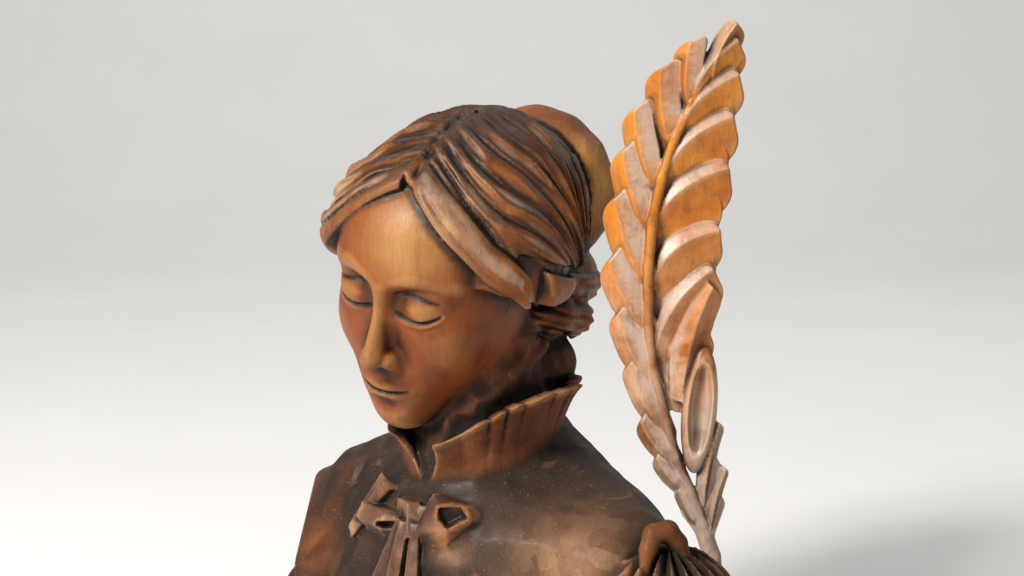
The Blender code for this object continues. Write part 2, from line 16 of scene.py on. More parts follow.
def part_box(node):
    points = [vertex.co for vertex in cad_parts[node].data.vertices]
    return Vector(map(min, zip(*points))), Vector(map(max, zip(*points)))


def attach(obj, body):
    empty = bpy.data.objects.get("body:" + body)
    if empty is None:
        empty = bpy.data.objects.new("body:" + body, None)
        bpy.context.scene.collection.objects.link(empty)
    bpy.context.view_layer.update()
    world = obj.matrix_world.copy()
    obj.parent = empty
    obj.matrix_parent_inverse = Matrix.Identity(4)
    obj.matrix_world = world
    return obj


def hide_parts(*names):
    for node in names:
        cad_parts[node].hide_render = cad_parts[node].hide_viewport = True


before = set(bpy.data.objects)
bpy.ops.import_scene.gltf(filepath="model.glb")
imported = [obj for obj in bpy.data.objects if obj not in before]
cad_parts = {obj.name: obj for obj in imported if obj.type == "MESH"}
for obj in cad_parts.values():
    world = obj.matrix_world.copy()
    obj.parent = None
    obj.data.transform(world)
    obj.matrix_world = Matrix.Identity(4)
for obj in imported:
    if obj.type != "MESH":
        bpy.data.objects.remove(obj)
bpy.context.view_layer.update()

# ---- main sizes, in millimetres and degrees ----
HEAD_AT = (0.0, -25.0, 215.0)  # middle of the head, level with the brow
HEAD_SIZE = 0.94
HEAD_YAW, HEAD_PITCH, HEAD_ROLL = 7.0, 17.0, 10.0
CROWN = (56.0, 66.0, 51.5)  # half sizes of the hair over the skull
LOCK_DEPTH = 4.0
FRONT_LOCK = 4.2  # how far the lock along the hairline stands over the brow
# edges of the locks of hair, in degrees round the gathering point behind the ear
LOCK_EDGES = (-12, 14, 27, 37, 47, 57, 67, 77, 87, 97, 106, 115, 124, 132, 141)
BUN = (39.0, 31.0, 40.0)
BUN_GAP = 3.4  # groove between the bun and the hair in front of it
YOKE = (92.0, 45.0, 31.0)
COLLAR_Y = -9.0
COLLAR_FOOT_RADIUS, COLLAR_FLARE = 32.5, 8.5
COLLAR_FOLDS = 24
# heights of the collar's foot and rim, by the turn from its front in degrees
COLLAR_TURNS = (0, 20, 32, 45, 60, 90, 130, 180)
COLLAR_FOOT = (107, 112, 115, 117, 119, 122, 121, 121)
COLLAR_RIM = (126, 129, 134.5, 139.5, 144, 148, 148, 149)
FROND_FOOT = (101.0, 27.4, 84.0)
STEM_GAP = 0.9  # clearance between the stem and the sleeve it lies against

CHANCES = np.random.default_rng(7).random((64, 64, 3)).astype(np.float32)


# ---- clay ----
def length(q):
    return np.sqrt(sum(v * v for v in q))


def ellipsoid(p, centre, radii):
    q = [(p[i] - centre[i]) / radii[i] for i in range(3)]
    k0 = length(q)
    k1 = length([q[i] / radii[i] for i in range(3)])
    return k0 * (k0 - 1) / np.maximum(k1, 1e-5)


def capsule(p, a, b, ra, rb):
    a, b = np.array(a, float), np.array(b, float)
    along = b - a
    q = [p[i] - a[i] for i in range(3)]
    t = sum(q[i] * along[i] for i in range(3)) / float(along @ along)
    t = np.clip(t, 0, 1)
    return length([q[i] - t * along[i] for i in range(3)]) - (ra + (rb - ra) * t)


def add(a, b, k):
    h = np.clip(0.5 + (0.5 / k) * (b - a), 0, 1)
    return b + (a - b) * h - k * h * (1 - h)


def cut(a, b, k):
    return -add(-a, b, k)


def keep(a, b, k):
    return -add(-a, -b, k)


def chain(p, points, radii, k=0):
    d = None
    for n in range(len(points) - 1):
        c = capsule(p, points[n], points[n + 1], radii[n], radii[n + 1])
        if d is None:
            d = c
        else:
            d = add(d, c, k) if k else np.minimum(d, c)
    return d


def mirrored(p):
    return np.stack([np.abs(p[0]), p[1], p[2]])


def rotation(yaw, pitch, roll):
    """Turned about Y by roll, then nodded about X by pitch, then turned about Z by yaw."""
    a, b, c = np.radians([yaw, pitch, roll])
    rz = np.array([[np.cos(a), -np.sin(a), 0], [np.sin(a), np.cos(a), 0], [0, 0, 1]])
    rx = np.array([[1, 0, 0], [0, np.cos(b), -np.sin(b)], [0, np.sin(b), np.cos(b)]])
    ry = np.array([[np.cos(c), 0, np.sin(c)], [0, 1, 0], [-np.sin(c), 0, np.cos(c)]])
    return rz @ rx @ ry


def into(p, origin, matrix):
    """The points as seen from a local frame."""
    return np.array(matrix, np.float32).T @ (p - np.array(origin, np.float32)[:, None])


# ---- head ----
def skull(p):
    s = mirrored(p)
    d = ellipsoid(p, (0, 6, 2), (46, 58, 46))
    d = add(d, ellipsoid(p, (0, -18.5, 9), (41.5, 38, 35)), 12)
    d = add(d, ellipsoid(p, (0, -22, -25), (38.5, 35, 49)), 14)
    d = add(d, ellipsoid(p, (0, -28, -48), (25, 27, 28)), 12)
    d = add(d, ellipsoid(s, (20, -40, -28), (14, 13, 16)), 12)
    d = add(d, ellipsoid(s, (24, -8, -40), (10, 14, 14)), 14)
    return add(d, ellipsoid(p, (0, -46.5, -67.5), (12.5, 11, 10.5)), 14)


def brow_and_nose(d, p):
    s = mirrored(p)
    d = add(d, chain(s, [(3, -54.5, 0), (17, -53, 5), (30, -43, 3)], [2.6, 2.6, 1.5]), 9)
    d = cut(d, ellipsoid(s, (17.5, -61.5, -5.5), (12.5, 9.5, 8)), 8)
    # the bridge is drawn in shallower space, which makes it narrow and tall
    q = np.stack([p[0], (p[1] + 54) * 0.55, p[2]])
    d = add(d, chain(q, [(0, 0.55, 1), (0, -1.9, -12), (0, -5.2, -30)], [2.9, 3.0, 4.5]), 4.5)
    d = add(d, ellipsoid(p, (0, -67, -32.6), (4.6, 5, 4.3)), 4)
    return add(d, ellipsoid(s, (6.1, -60, -34.4), (3.4, 6.2, 3.9)), 3)


def lips(d, p):
    s = mirrored(p)
    d = add(d, ellipsoid(p, (0, -44, -49), (19, 16, 16)), 10)
    upper = chain(s, [(0, -59.8, -49.6), (3.6, -60, -48.9), (12.5, -54.9, -50.8)], [2.6, 2.6, 1.1])
    lower = chain(s, [(0, -58.6, -54.6), (5, -57.8, -54.2), (11.5, -54.6, -52)], [3.3, 3.0, 1.1])
    d = add(add(d, upper, 2.6), lower, 2.8)
    across = np.clip(1 - (s[0] / 13.5) ** 2, 0, 1) * (p[1] < -45)
    d = d + 1.3 * np.exp(-(((p[2] + 51.9 - 0.9 * (s[0] / 13) ** 2) / 0.75) ** 2)) * across**0.5
    d = cut(d, ellipsoid(p, (0, -63, -60.5), (9, 5, 3.2)), 5)
    return cut(d, capsule(p, (0, -65, -41.5), (0, -64.4, -46), 1.6, 2.2), 2.5)


def eyes(d, p):
    """Lowered lids: a ball a little out of the socket, with the lid's edge and fold on it."""
    s = mirrored(p)
    d = add(d, ellipsoid(s, (17.2, -44.2, -9), (12.6, 12.6, 12.6)), 3)
    u = (s[0] - 17.2) / 11
    arc = np.clip(1 - u * u, 0, 1) * (s[1] < -40)
    edge = np.exp(-(((s[2] + 10.6 + 3.4 * arc - 0.5 * u) / 0.7) ** 2))
    rim = np.exp(-(((s[2] + 13.2 + 3.2 * arc - 0.5 * u) / 1.1) ** 2))
    fold = np.exp(-(((s[2] + 3.2 - 1.8 * arc + 1.2 * u) / 0.8) ** 2))
    return d + arc**0.4 * (1.25 * edge - 0.5 * rim + 0.7 * fold)


def hairline(p):
    """How far inside the hair's edge: a gable over the forehead, then down past the temple."""
    a = np.abs(p[0])
    over_face = 0.682 * a + 0.035 * p[1] + 0.731 * p[2] - 35.5 + 1.5 * (p[0] < 0)
    over_face = over_face + 0.6 * np.maximum(p[1] + 34, 0)
    past_temple = 0.69 * (p[2] + 8) + 0.72 * (p[1] + 21.6) + 0.6 * (np.minimum(a, 46) - 43)
    past_temple = past_temple + 5 * (p[0] < 0)
    return -add(-over_face, -past_temple, 6)


def hair_mass(p):
    narrow = np.stack([p[0] * np.where(p[0] < 0, 1.05, 1), p[1], p[2]])
    d = ellipsoid(narrow, (0, 8, 4), CROWN)
    return add(d, ellipsoid(mirrored(narrow), (42, -6, 2), (19, 32, 28)), 12)


def lock_turns(p):
    """Turn, in degrees, of a point of the hair round the gathering point of its side."""
    a = np.abs(p[0])
    turn = np.degrees(np.arctan2(p[2] + 22, 20 - p[1]))
    inside = hairline(p)
    along_edge = np.exp(-((inside / 24) ** 2))
    turn = turn + along_edge * (22 + 1.15 * inside - turn)
    sway = np.sin(a * 0.10 + np.sign(p[0]) * 1.3 + turn * 0.06)
    return turn + 0.16 * (a - 25) + 2.2 * sway


def lock_relief(p):
    """1 on the crest of a lock of hair and 0 in the grooves beside it."""
    a = np.abs(p[0])
    turn = lock_turns(p)
    relief = np.zeros_like(turn)
    for n in range(len(LOCK_EDGES) - 1):
        u = (turn - LOCK_EDGES[n]) / (LOCK_EDGES[n + 1] - LOCK_EDGES[n])
        crest = np.clip(np.minimum(u / 0.72, (1 - u) / 0.28), 0, 1) ** 0.75
        swell = 0.78 + 0.22 * np.sin(a * 0.09 + n * 2.1)
        relief = np.where((u >= 0) & (u < 1), crest * swell, relief)
    return relief


def strand_cuts(p):
    """Leaf-shaped gouge cuts that split the locks into shorter strands, 0 to 1."""
    turn, run = lock_turns(p) / 5.2, np.abs(p[0]) / 21
    side = (p[0] > 0) * 31
    depth = np.zeros_like(turn)
    for i in (-1, 0, 1):
        for j in (-1, 0, 1):
            row = np.floor(turn) + i
            column = np.floor(run + row * 0.37) + j
            chance = CHANCES[(row + side).astype(int) % 64, column.astype(int) % 64].T
            across = (turn - row - 0.3 - 0.4 * chance[0]) / 0.46
            along = (run + row * 0.37 - column - 0.2 - 0.6 * chance[1]) / 0.62
            lens = 1 - across * across - along * along
            depth = np.maximum(depth, np.clip(lens, 0, 1) * (0.35 + 0.65 * chance[2]))
    return depth


def hair(p):
    a = np.abs(p[0])
    inside = hairline(p)
    rise = np.sqrt(np.clip(1 - np.clip(1 - inside / 5, 0, 1) ** 2, 0, 1))
    near_side = 1 - 0.4 * np.clip(-p[0] / 20, 0, 1)
    lift = FRONT_LOCK * rise * np.exp(-np.maximum(inside - 10, 0) / 35) * near_side
    locks = LOCK_DEPTH * (1 - lock_relief(p)) * np.clip((a - 2) / 10, 0.25, 1)
    locks = locks + 1.7 * strand_cuts(p)
    side_parting = np.exp(-(((inside - 15.5) / 1.5) ** 2)) * np.clip((a - 5) / 6, 0, 1)
    d = hair_mass(p) - lift + locks * np.clip((inside - 14.5) / 1.5, 0, 1) + 2.2 * side_parting
    groove = np.exp(-(((inside - 8.5 + 3.5 * (p[0] > 0)) / 1.2) ** 2)) * np.clip((a - 10) / 8, 0, 1)
    d = d + (1.5 - 0.6 * (p[0] > 0)) * groove
    parting = np.exp(-(((p[0] + 2 + 0.2 * p[1] - 0.8 * np.sin(p[1] * 0.2)) / 2.2) ** 2))
    d = d + (2.6 + 0.8 * np.sin(p[1] * 0.55)) * parting * np.clip((42 - p[1]) / 10, 0, 1)
    d = keep(d, -inside, 1.2)
    d = keep(d, add(-over_nape(p), p[1] + 25, 3), 3)
    return cut(d, bun(p) - BUN_GAP, 0.8)


def over_nape(p):
    """Height above the line where the locks end, which sinks from the temple to the nape."""
    return p[2] - 1 + 0.62 * (p[1] - 0.2 * np.maximum(p[1] - 30, 0))


def nape_roll(p):
    """The hair swept under the bun: a raised band, one below it, and loose ends at both sides."""
    sunk = np.stack([p[0], p[1], p[2] + 0.3 * (p[1] - 44)])
    d = add(hair_mass(p), ellipsoid(sunk, (0, 47, -38), (40, 43, 27)), 8)
    below = -over_nape(p) / 1.177
    behind = np.clip((p[1] - 30) / 30, 0, 1)
    strands = 0.5 * np.cos(1.4 * below)
    upper = d + 1 - (4 - 1.5 * behind) * np.sqrt(np.clip(1 - ((below - 12) / 8) ** 2, 0, 1))
    upper = upper + behind * strands
    upper = keep(upper, np.maximum(np.maximum(4 - below, below - 20), -14 - p[1]), 1.2)
    lower = d + 3.5 - 3.5 * np.sqrt(np.clip(1 - ((below - 27) / 7) ** 2, 0, 1))
    lower = keep(lower, np.maximum(np.maximum(20.5 - below, below - 34), 12 - p[1]), 2)
    core = keep(d + 3.5 - 3 * behind, below - 34, 4)
    core = np.maximum(core, np.minimum(below - 20, 14 - p[1]))
    loose = [(35, 8, -39), (39, 26, -44), (38, 40, -51), (32, 48, -66)]
    ends = chain(mirrored(p), loose, [4.5, 8, 9, 4], 5) + strands
    core = add(add(core, ends, 7), ellipsoid(p, (0, 26, -46), (39, 32, 18)), 5)
    d = cut(np.minimum(add(upper, lower, 0.6), core), bun(p) - BUN_GAP * (1 - behind), 0.8)
    return d + 0.8 * gouged(p * np.array([[1], [1], [0.4]], np.float32), 8)


def bun(p):
    turn = np.degrees(np.arctan2(p[2] + 5, p[0]))
    ripple = np.abs((turn / 30 + 0.15) % 1 - 0.5) * 2
    return ellipsoid(p, (0, 71, -5), BUN) + 0.8 * ripple


def in_head(p):
    """The points as seen by the upright head, at the size it was drawn in."""
    return into(p, HEAD_AT, rotation(HEAD_YAW, HEAD_PITCH, HEAD_ROLL)) / HEAD_SIZE


def head_parts(p):
    q = in_head(p)
    face = eyes(lips(brow_and_nose(skull(q), q), q), q)
    return [part * HEAD_SIZE for part in (face, hair(q), bun(q), nape_roll(q))]


def head(p):
    face, locks, knot, roll = head_parts(p)
    seated = 2 + 26 * np.clip((p[1] - 42) / 22, 0, 1) * np.clip((2 - p[2]) / 22, 0, 1)
    return add(add(add(face, locks, 0.5), roll, 0.8), knot, seated)


def gouged(p, size):
    """Shallow scoops side by side: 1 in the middle of each and 0 on the ridges between them."""
    q = p / size
    base = np.floor(q - 0.5)
    nearest = np.full_like(q[0], 9)
    for corner in np.ndindex(2, 2, 2):
        cell = base + np.array(corner, np.float32)[:, None]
        row = (cell[0] * 7 + cell[2] * 13).astype(int) % 64
        column = (cell[1] * 5 + cell[2] * 11).astype(int) % 64
        away = q - cell - 0.5 - 0.6 * (CHANCES[row, column].T - 0.5)
        nearest = np.minimum(nearest, (away * away).sum(0))
    return np.clip(1 - nearest / 0.45, 0, 1)


# ---- neck, collar and dress ----
def neck(p):
    d = chain(p, [(0, -4, 96), (0, -8, 130), (0, -14, 158), (1, -16, 182)], [31, 32.5, 30, 28], 6)
    sinew = [(27, 2, 166), (28.5, -19, 157), (24.8, -27.5, 149.5), (17.5, -33.5, 143)]
    sinew += [(8.5, -38, 136)]
    d = add(d, chain(mirrored(p), sinew, [3.5, 4.6, 4.6, 4.2, 3], 1), 2.5)
    d = add(d, chain(p, [(0, 14, 150), (0, 16, 172)], [18, 20], 4), 8)
    d = add(d, ellipsoid(p, (0, 15, 153), (27, 26, 18)), 5)
    return d + 1.2 * gouged(p, 10)


def collar(p):
    """A standing collar with a flared, folded rim, higher behind and open in front."""
    y = p[1] - COLLAR_Y
    r = np.sqrt(p[0] * p[0] + y * y)
    turn = np.degrees(np.arctan2(p[0], -y))
    foot = np.interp(np.abs(turn), COLLAR_TURNS, COLLAR_FOOT).astype(np.float32)
    rim = np.interp(np.abs(turn), COLLAR_TURNS, COLLAR_RIM).astype(np.float32)
    u = turn * (COLLAR_FOLDS / 360) + 0.3 * np.sin(turn * 0.11)
    rim = rim + 0.9 * np.sin(5.3 * np.floor(u))
    up = (p[2] - foot) / (rim - foot)
    climb = np.clip(up, -0.4, 1.3)
    fold = np.abs(u % 1 - 0.5) * 2
    flare = COLLAR_FLARE * climb * np.abs(climb) ** 0.5
    flare = flare + 2.4 * np.clip(climb, 0.1, 1) * (0.5 - fold**2)
    thick = 2.2 + 1.5 * np.clip((up - 0.72) / 0.28, 0, 1) ** 2
    wall = np.abs(r - COLLAR_FOOT_RADIUS - flare) - thick
    d = keep(wall * 0.85, (p[2] - rim - 1.4 * (0.5 - fold)) * 0.8, 1.2)
    d = np.maximum(d, foot - 9 - p[2])
    gap = 2.5 + 9 * np.clip(up, 0, 1) - np.abs(p[0])
    return np.where(p[1] < COLLAR_Y, keep(d, gap * 0.8, 1), d)


def torso(p):
    s = mirrored(p)
    d = ellipsoid(p, (5, -6, 80), YOKE)
    d = add(d, ellipsoid(p, (79, -8, 78), (23, 31, 25)), 10)
    d = add(d, ellipsoid(p, (-74, -4, 68), (22, 30, 25)), 10)
    d = add(d, ellipsoid(p, (0, 2, 14), (88, 60, 98)), 14)
    d = add(d, ellipsoid(s, (26, -34, 28), (40, 35, 42)), 22)
    d = add(d, capsule(p, (0, -6, 82), (0, -9, 114), 50, 34), 16)
    shoulders = [(-70, -8, 84), (-42, 0, 96), (0, 16, 106), (56, 10, 85)]
    d = add(d, chain(p, shoulders, [22, 25, 29, 22]), 18)
    d = add(d, capsule(p, (81, -8, 70), (90, -12, 0), 26, 33), 10)
    d = add(d, capsule(p, (-78, -8, 62), (-92, -14, 0), 22, 33), 10)
    return d + 0.9 * gouged(p, 13)


def puff(p, centre, radii, folds, depth):
    """A gathered sleeve: an egg with folds running down from the gathers at its top."""
    turn = np.arctan2(p[1] - centre[1], p[0] - centre[0]) / (2 * np.pi)
    u = (turn * folds + 0.01 * (p[2] - centre[2])) % 1
    crest = np.minimum(u / 0.35, (1 - u) / 0.65)
    rise = np.clip((p[2] - centre[2] + 10) / radii[2], 0, 1)
    return ellipsoid(p, centre, radii) + depth * (0.6 - crest) * (0.25 + 0.75 * rise)


def planes(p, faces, k=0.7):
    """A solid bounded by flat faces, each given as (x, y, z, distance)."""
    d = None
    for x, y, z, away in faces:
        n = (x * x + y * y + z * z) ** 0.5
        face = (p[0] * x + p[1] * y + p[2] * z) / n - away
        d = face if d is None else keep(d, face, k)
    return d


def tail(p, foot, tip, wide, lean):
    """A flat ribbon end lying down the chest, folded along its middle and cut at a slant."""
    foot, tip = np.array(foot, float), np.array(tip, float)
    down = tip - foot
    long = float(np.linalg.norm(down))
    down = down / long
    out = np.array([-0.6 * np.sin(np.radians(lean)), -1, 0])
    out = out - down * (out @ down)
    out = out / np.linalg.norm(out)
    q = into(p, (foot + tip) / 2, np.stack([np.cross(down, out), -out, -down], axis=1))
    half = wide * (0.72 - 0.5 * q[2] / long)
    ridge = 0.45 * np.abs(q[0] - 0.15 * wide) - q[1] - 4
    d = np.maximum(np.maximum(np.abs(q[0]) - half, ridge), q[1] - 7)
    return keep(d, planes(q, [(0, 0, 1, long * 0.5 + 3), (0.7, 0, -1, long * 0.42)]), 0.6)


# foot and tip of each ribbon end, its width and its lean
BOW_TAILS = [
    ((-3, -55, 90), (-19, -64, 44), 5.5, 14),
    ((1, -57, 90), (-3, -70, 36), 5.5, 4),
    ((6, -55, 89), (14, -69, 46), 4.6, -16),
]

# the bow's faces, each (x, y, z, distance): x runs across, y into the chest and z up
RIGHT_LOOP = [(0.3, -0.75, -0.59, 6.4), (-0.51, -0.75, -0.42, 7.2), (-0.8, -0.35, 0.5, 10.2),
              (0.05, -0.35, 0.93, 8.3), (0.47, -0.5, 0.7, 10.8), (0.58, -0.78, 0.22, 10.7),
              (0, 1, 0, 9)]
RIGHT_HOLLOW = [(-0.11, 0.3, 0.95, 6.4), (0.93, 0.3, 0.35, 4.6), (0.45, 0.3, -0.89, -1.7),
                (-0.77, 0.3, -0.64, 1.3), (-0.98, 0.3, -0.2, 3.4), (0, 1, 0, -1.5)]
LEFT_LOOP = [(-0.1, -0.8, 0.6, 7.6), (-0.75, -0.55, 0.3, 8.2), (-0.2, -0.75, -0.63, 7.2),
             (-0.6, -0.3, -0.6, 7.2), (0, -0.2, 1, 6.4), (1, 0, 0, 8), (0, 1, 0, 9)]
UPPER_LOOP = [(0.2, -0.8, 0.5, 5), (-0.5, -0.75, -0.1, 5.2), (0.2, -0.7, -0.6, 4.6),
              (-0.8, -0.2, 0.5, 4.8), (0.5, 0, 0.85, 3.6), (0.9, 0, -0.3, 7.5), (0, 1, 0, 9)]
KNOT_LEFT = [(0.1, -0.9, 0.3, 7.5), (-1, -0.35, 0.12, 7.4), (0.5, -0.8, 0.1, 7),
             (0, -0.1, 1, 8.5), (0, -0.4, -1, 10), (1, 0, -0.1, 0.3), (0, 1, 0, 8)]
KNOT_RIGHT = [(-0.2, -0.9, 0.2, 7.2), (1, -0.4, -0.1, 8.6), (-1, 0, 0.1, 0.6), (0, -0.1, 1, 7.5),
              (0.2, -0.4, -1, 11.5), (0, 1, 0, 8)]


def bow(p):
    seen = np.array([(0.731, -0.672, -0.118), (0.682, 0.720, 0.127), (0, -0.174, 0.985)])
    q = into(p, (21.5, -49, 94), seen)
    right = cut(planes(q, RIGHT_LOOP, 0.5), planes(q, RIGHT_HOLLOW, 0.5), 0.8)
    q = into(p, (-16.4, -49, 88), seen)
    left = cut(planes(q, LEFT_LOOP, 0.5), ellipsoid(q, (-1.5, -8, -0.8), (7.5, 5.5, 1.7)), 0.7)
    upper = planes(into(p, (-23, -44.2, 101), seen), UPPER_LOOP, 0.5)
    q = into(p, (1, -49.6, 92), seen)
    d = add(planes(q, KNOT_LEFT, 0.5), planes(q, KNOT_RIGHT, 0.5), 0.4)
    for loop in (right, left, upper):
        d = add(d, loop, 0.5)
    for foot, tip, wide, lean in BOW_TAILS:
        d = add(d, tail(p, foot, tip, wide, lean), 0.6)
    return d


# the gathered tuft that stands up from the near sleeve, and the flat folds of the far one
TUFT = [(111, -27, 84), (109, -23, 94), (108.5, -19, 100), (112, -14, 101), (115, -11, 96),
        (118, -9, 86)]
FAR_FOLDS = [(-0.35, -0.8, 0.5, 24), (-0.8, -0.5, 0.05, 17), (0.35, -0.9, 0.1, 24),
             (-0.35, -0.1, 0.93, 41), (-0.45, -0.86, -0.2, 26), (1, -0.1, 0.1, 27),
             (-1, 0, 0.1, 27), (0, 1, 0, 20), (0, 0, -1, 70)]


def sleeves(p):
    near = puff(p, (110, -11, 31), (34, 44, 61), 17, 5.5)
    near = add(near, chain(p, TUFT, [2.5, 3.8, 4.4, 4.6, 4, 3], 1), 1)
    far = puff(p, (-94, -8, 2), (29, 39, 52), 15, 4.5)
    folds = planes(p - np.array([[-79], [-22], [54]], np.float32), FAR_FOLDS, 3)
    return np.minimum(near, add(far, folds, 5))


def bust(p):
    d = add(torso(p), sleeves(p), 2)
    d = add(d, bow(p), 0.8)
    d = add(d, neck(p), 3)
    d = add(d, collar(p), 1.2)
    d = add(d, head(p), 3)
    return cut(d, stem(p) - STEM_GAP, 0.6)


# ---- frond, drawn in its own plane: u across, v up and w towards the viewer ----
RIB = [(6, -96, 12), (6, -72, 6.5), (5, -50, 3.2), (4, -28, 2.6), (1.4, -4.6, 0.5),
       (-3.3, 10, 0.4), (-9, 24, 1.2), (-15.5, 40, 2), (-20.6, 60, 2.5), (-25.6, 80, 3),
       (-27.6, 101, 3.5), (-27.6, 123, 4), (-26, 142, 4), (-22.5, 160, 4), (-17, 177, 3.8),
       (-10, 192, 3.4), (-2, 206, 3), (6, 218, 2)]
RIB_RADII = [4.3, 4.2, 4.1, 4.0, 3.9, 3.8, 3.2, 2.8, 2.5, 2.4, 2.5, 2.6, 2.6, 2.5, 2.3, 2.0,
             1.6, 1.0]

# foot u and v, tip u and v, half width, where the crest lies across, lift
LEFT_LEAFLETS = [
    (-4, 8, -13, 25, 3.2, 0.1, -0.8),
    (-11, 25, -22.5, 40, 4.4, 0.1, -0.2),
    (-15, 37, -29, 56, 5.4, 0.15, 0),
    (-19.5, 50, -34, 81, 6, 0.15, 0),
    (-24, 70, -39, 103, 7, 0.15, 0.2),
    (-26, 93, -42.5, 126, 8.2, 0.15, 0.2),
    (-27.5, 114, -40.5, 152, 8.2, 0.15, 0.2),
    (-27, 136, -37.5, 172, 7.6, 0.15, 0.2),
    (-24, 154, -33, 189, 7, 0.15, 0.2),
    (-18, 174, -22, 206, 7.4, 0.15, 0.2),
    (-11, 190, -10, 217, 6.4, 0.15, 0.2),
]
RIGHT_LEAFLETS = [
    (0, 6, 6, 34, 3.2, 0.2, -1.0),
    (-3, 20, 3, 54, 4.0, 0.2, -0.6),
    (-13, 66, -1, 114, 8, 0.1, 0.6),
    (-20, 84, 1.5, 117, 10.5, -0.5, 0),
    (-22, 112, 2.5, 133, 12, -0.5, 0),
    (-21.5, 135, 6, 159, 12.5, -0.5, 0),
    (-18, 155, 8, 181, 12, -0.5, 0),
    (-13, 174, 10, 199, 10.5, -0.5, 0),
    (-7, 189, 10, 214, 8.5, -0.5, 0),
    (0, 200, 9, 223, 5.8, -0.3, 0),
]
STEM_RINGS = 7  # how many points of the rib belong to the bare stem


def frond_plane(p):
    x, y = p[0] - FROND_FOOT[0], p[1] - FROND_FOOT[1]
    return np.stack([0.731 * x + 0.682 * y, p[2] - FROND_FOOT[2], 0.682 * x - 0.731 * y])


def stem(p):
    return chain(frond_plane(p), RIB[:STEM_RINGS], RIB_RADII[:STEM_RINGS], 1)


def blade_axes(q, u0, v0, u1, v1):
    """A blade's length, and the points' places along and across it."""
    long = float(np.hypot(u1 - u0, v1 - v0))
    eu, ev = (u1 - u0) / long, (v1 - v0) / long
    along = (q[0] - u0) * eu + (q[1] - v0) * ev
    return long, along, (q[0] - u0) * ev - (q[1] - v0) * eu


def leaflet_axes(q, row, side):
    """Distance to a leaflet's outline, the place across it (1 at the lower edge) and along it."""
    u0, v0, u1, v1, half = row[:5]
    long, along, across = blade_axes(q, u0, v0, u1, v1)
    bend = 0.2 if side > 0 else -0.34
    t = along / long
    b = -side * across - bend * half * (1 - (2 * t - 1) ** 2)
    edge = np.abs(b) - half * np.clip(0.62 + 0.8 * t, 0.3, 1)
    tip = 0.9 * (along - long - 1) + 0.44 * b
    return keep(keep(edge, tip, 0.7 * half), -along - 2, 2), b / half, np.clip(t, 0, 1)


def leaflet(q, row, side):
    """A thin blade, cut at a slant at its tip, with a crest along it, springing from the rib."""
    crest, lift = row[5:]
    outline, b, t = leaflet_axes(q, row, side)
    lower = np.clip((1 - b) / (1 - crest), 0, 1)
    upper = np.clip((1 + b) / (1 + crest), 0, 1)
    if side > 0:
        roof = np.minimum(lower, 0.66 + 0.34 * upper)
    else:
        roof = np.minimum(lower**1.5, 0.15 + 0.85 * upper)
    middle = lift - 1.1 + 5 * roof * (0.55 + 0.45 * np.clip(t / 0.3, 0, 1)) + 2 * t * (1 - t)
    front, back = middle + 1.7, 0.35 * middle - 1.3
    return keep(outline, 0.7 * np.maximum(q[2] - front, back - q[2]), 0.8)


def web(q):
    """The thin plate that joins the leaflets to the rib."""
    d = None
    flat = np.stack([q[0], q[1], 0 * q[2]])
    for n, row in enumerate(LEFT_LEAFLETS + RIGHT_LEAFLETS):
        u0, v0, u1, v1, half = row[:5]
        far = 0.62 if 2 < n < len(LEFT_LEAFLETS) else 0.45
        middle = (u0 + far * (u1 - u0), v0 + far * (v1 - v0), 0)
        c = capsule(flat, (u0, v0, 0), middle, 0.85 * half, 0.95 * half + 1)
        d = c if d is None else add(d, c, 2)
    return keep(d, 0.9 * (np.abs(q[2] - 0.2) - 1.8), 0.8)


def spear(q):
    """The long hollow leaf low on the right."""
    long, along, across = blade_axes(q, -7, 34, -3, 87)
    local = np.stack([across, along - long * 0.5, q[2] - 3])
    body = ellipsoid(local, (0, 0, 0), (7.6, long * 0.52, 5))
    return cut(body, ellipsoid(local, (0, 1, 5), (5, long * 0.4, 5.5)), 0.8)


def frond(p):
    q = frond_plane(p)
    d = chain(q, RIB, RIB_RADII, 1)
    d = add(d, web(q), 1)
    for row in LEFT_LEAFLETS:
        d = add(d, leaflet(q, row, 1), 0.5)
    for row in RIGHT_LEAFLETS:
        d = add(d, leaflet(q, row, -1), 0.5)
    return add(d, spear(q), 0.5)


# ---- meshing ----
def evaluate(field, points, chunk=400000):
    out = np.empty(len(points), np.float32)
    for start in range(0, len(points), chunk):
        some = np.ascontiguousarray(points[start : start + chunk].T, dtype=np.float32)
        out[start : start + chunk] = field(some)
    return out


def both_sides(field, points, axis, reach):
    """The field a little ahead of each point along an axis, and a little behind it."""
    offset = np.zeros(3)
    offset[axis] = reach
    return evaluate(field, points + offset), evaluate(field, points - offset)


def slopes(field, points, step=0.25):
    slope = np.empty((len(points), 3), np.float32)
    for axis in range(3):
        ahead, behind = both_sides(field, points, axis, step)
        slope[:, axis] = (ahead - behind) / (2 * step)
    return slope


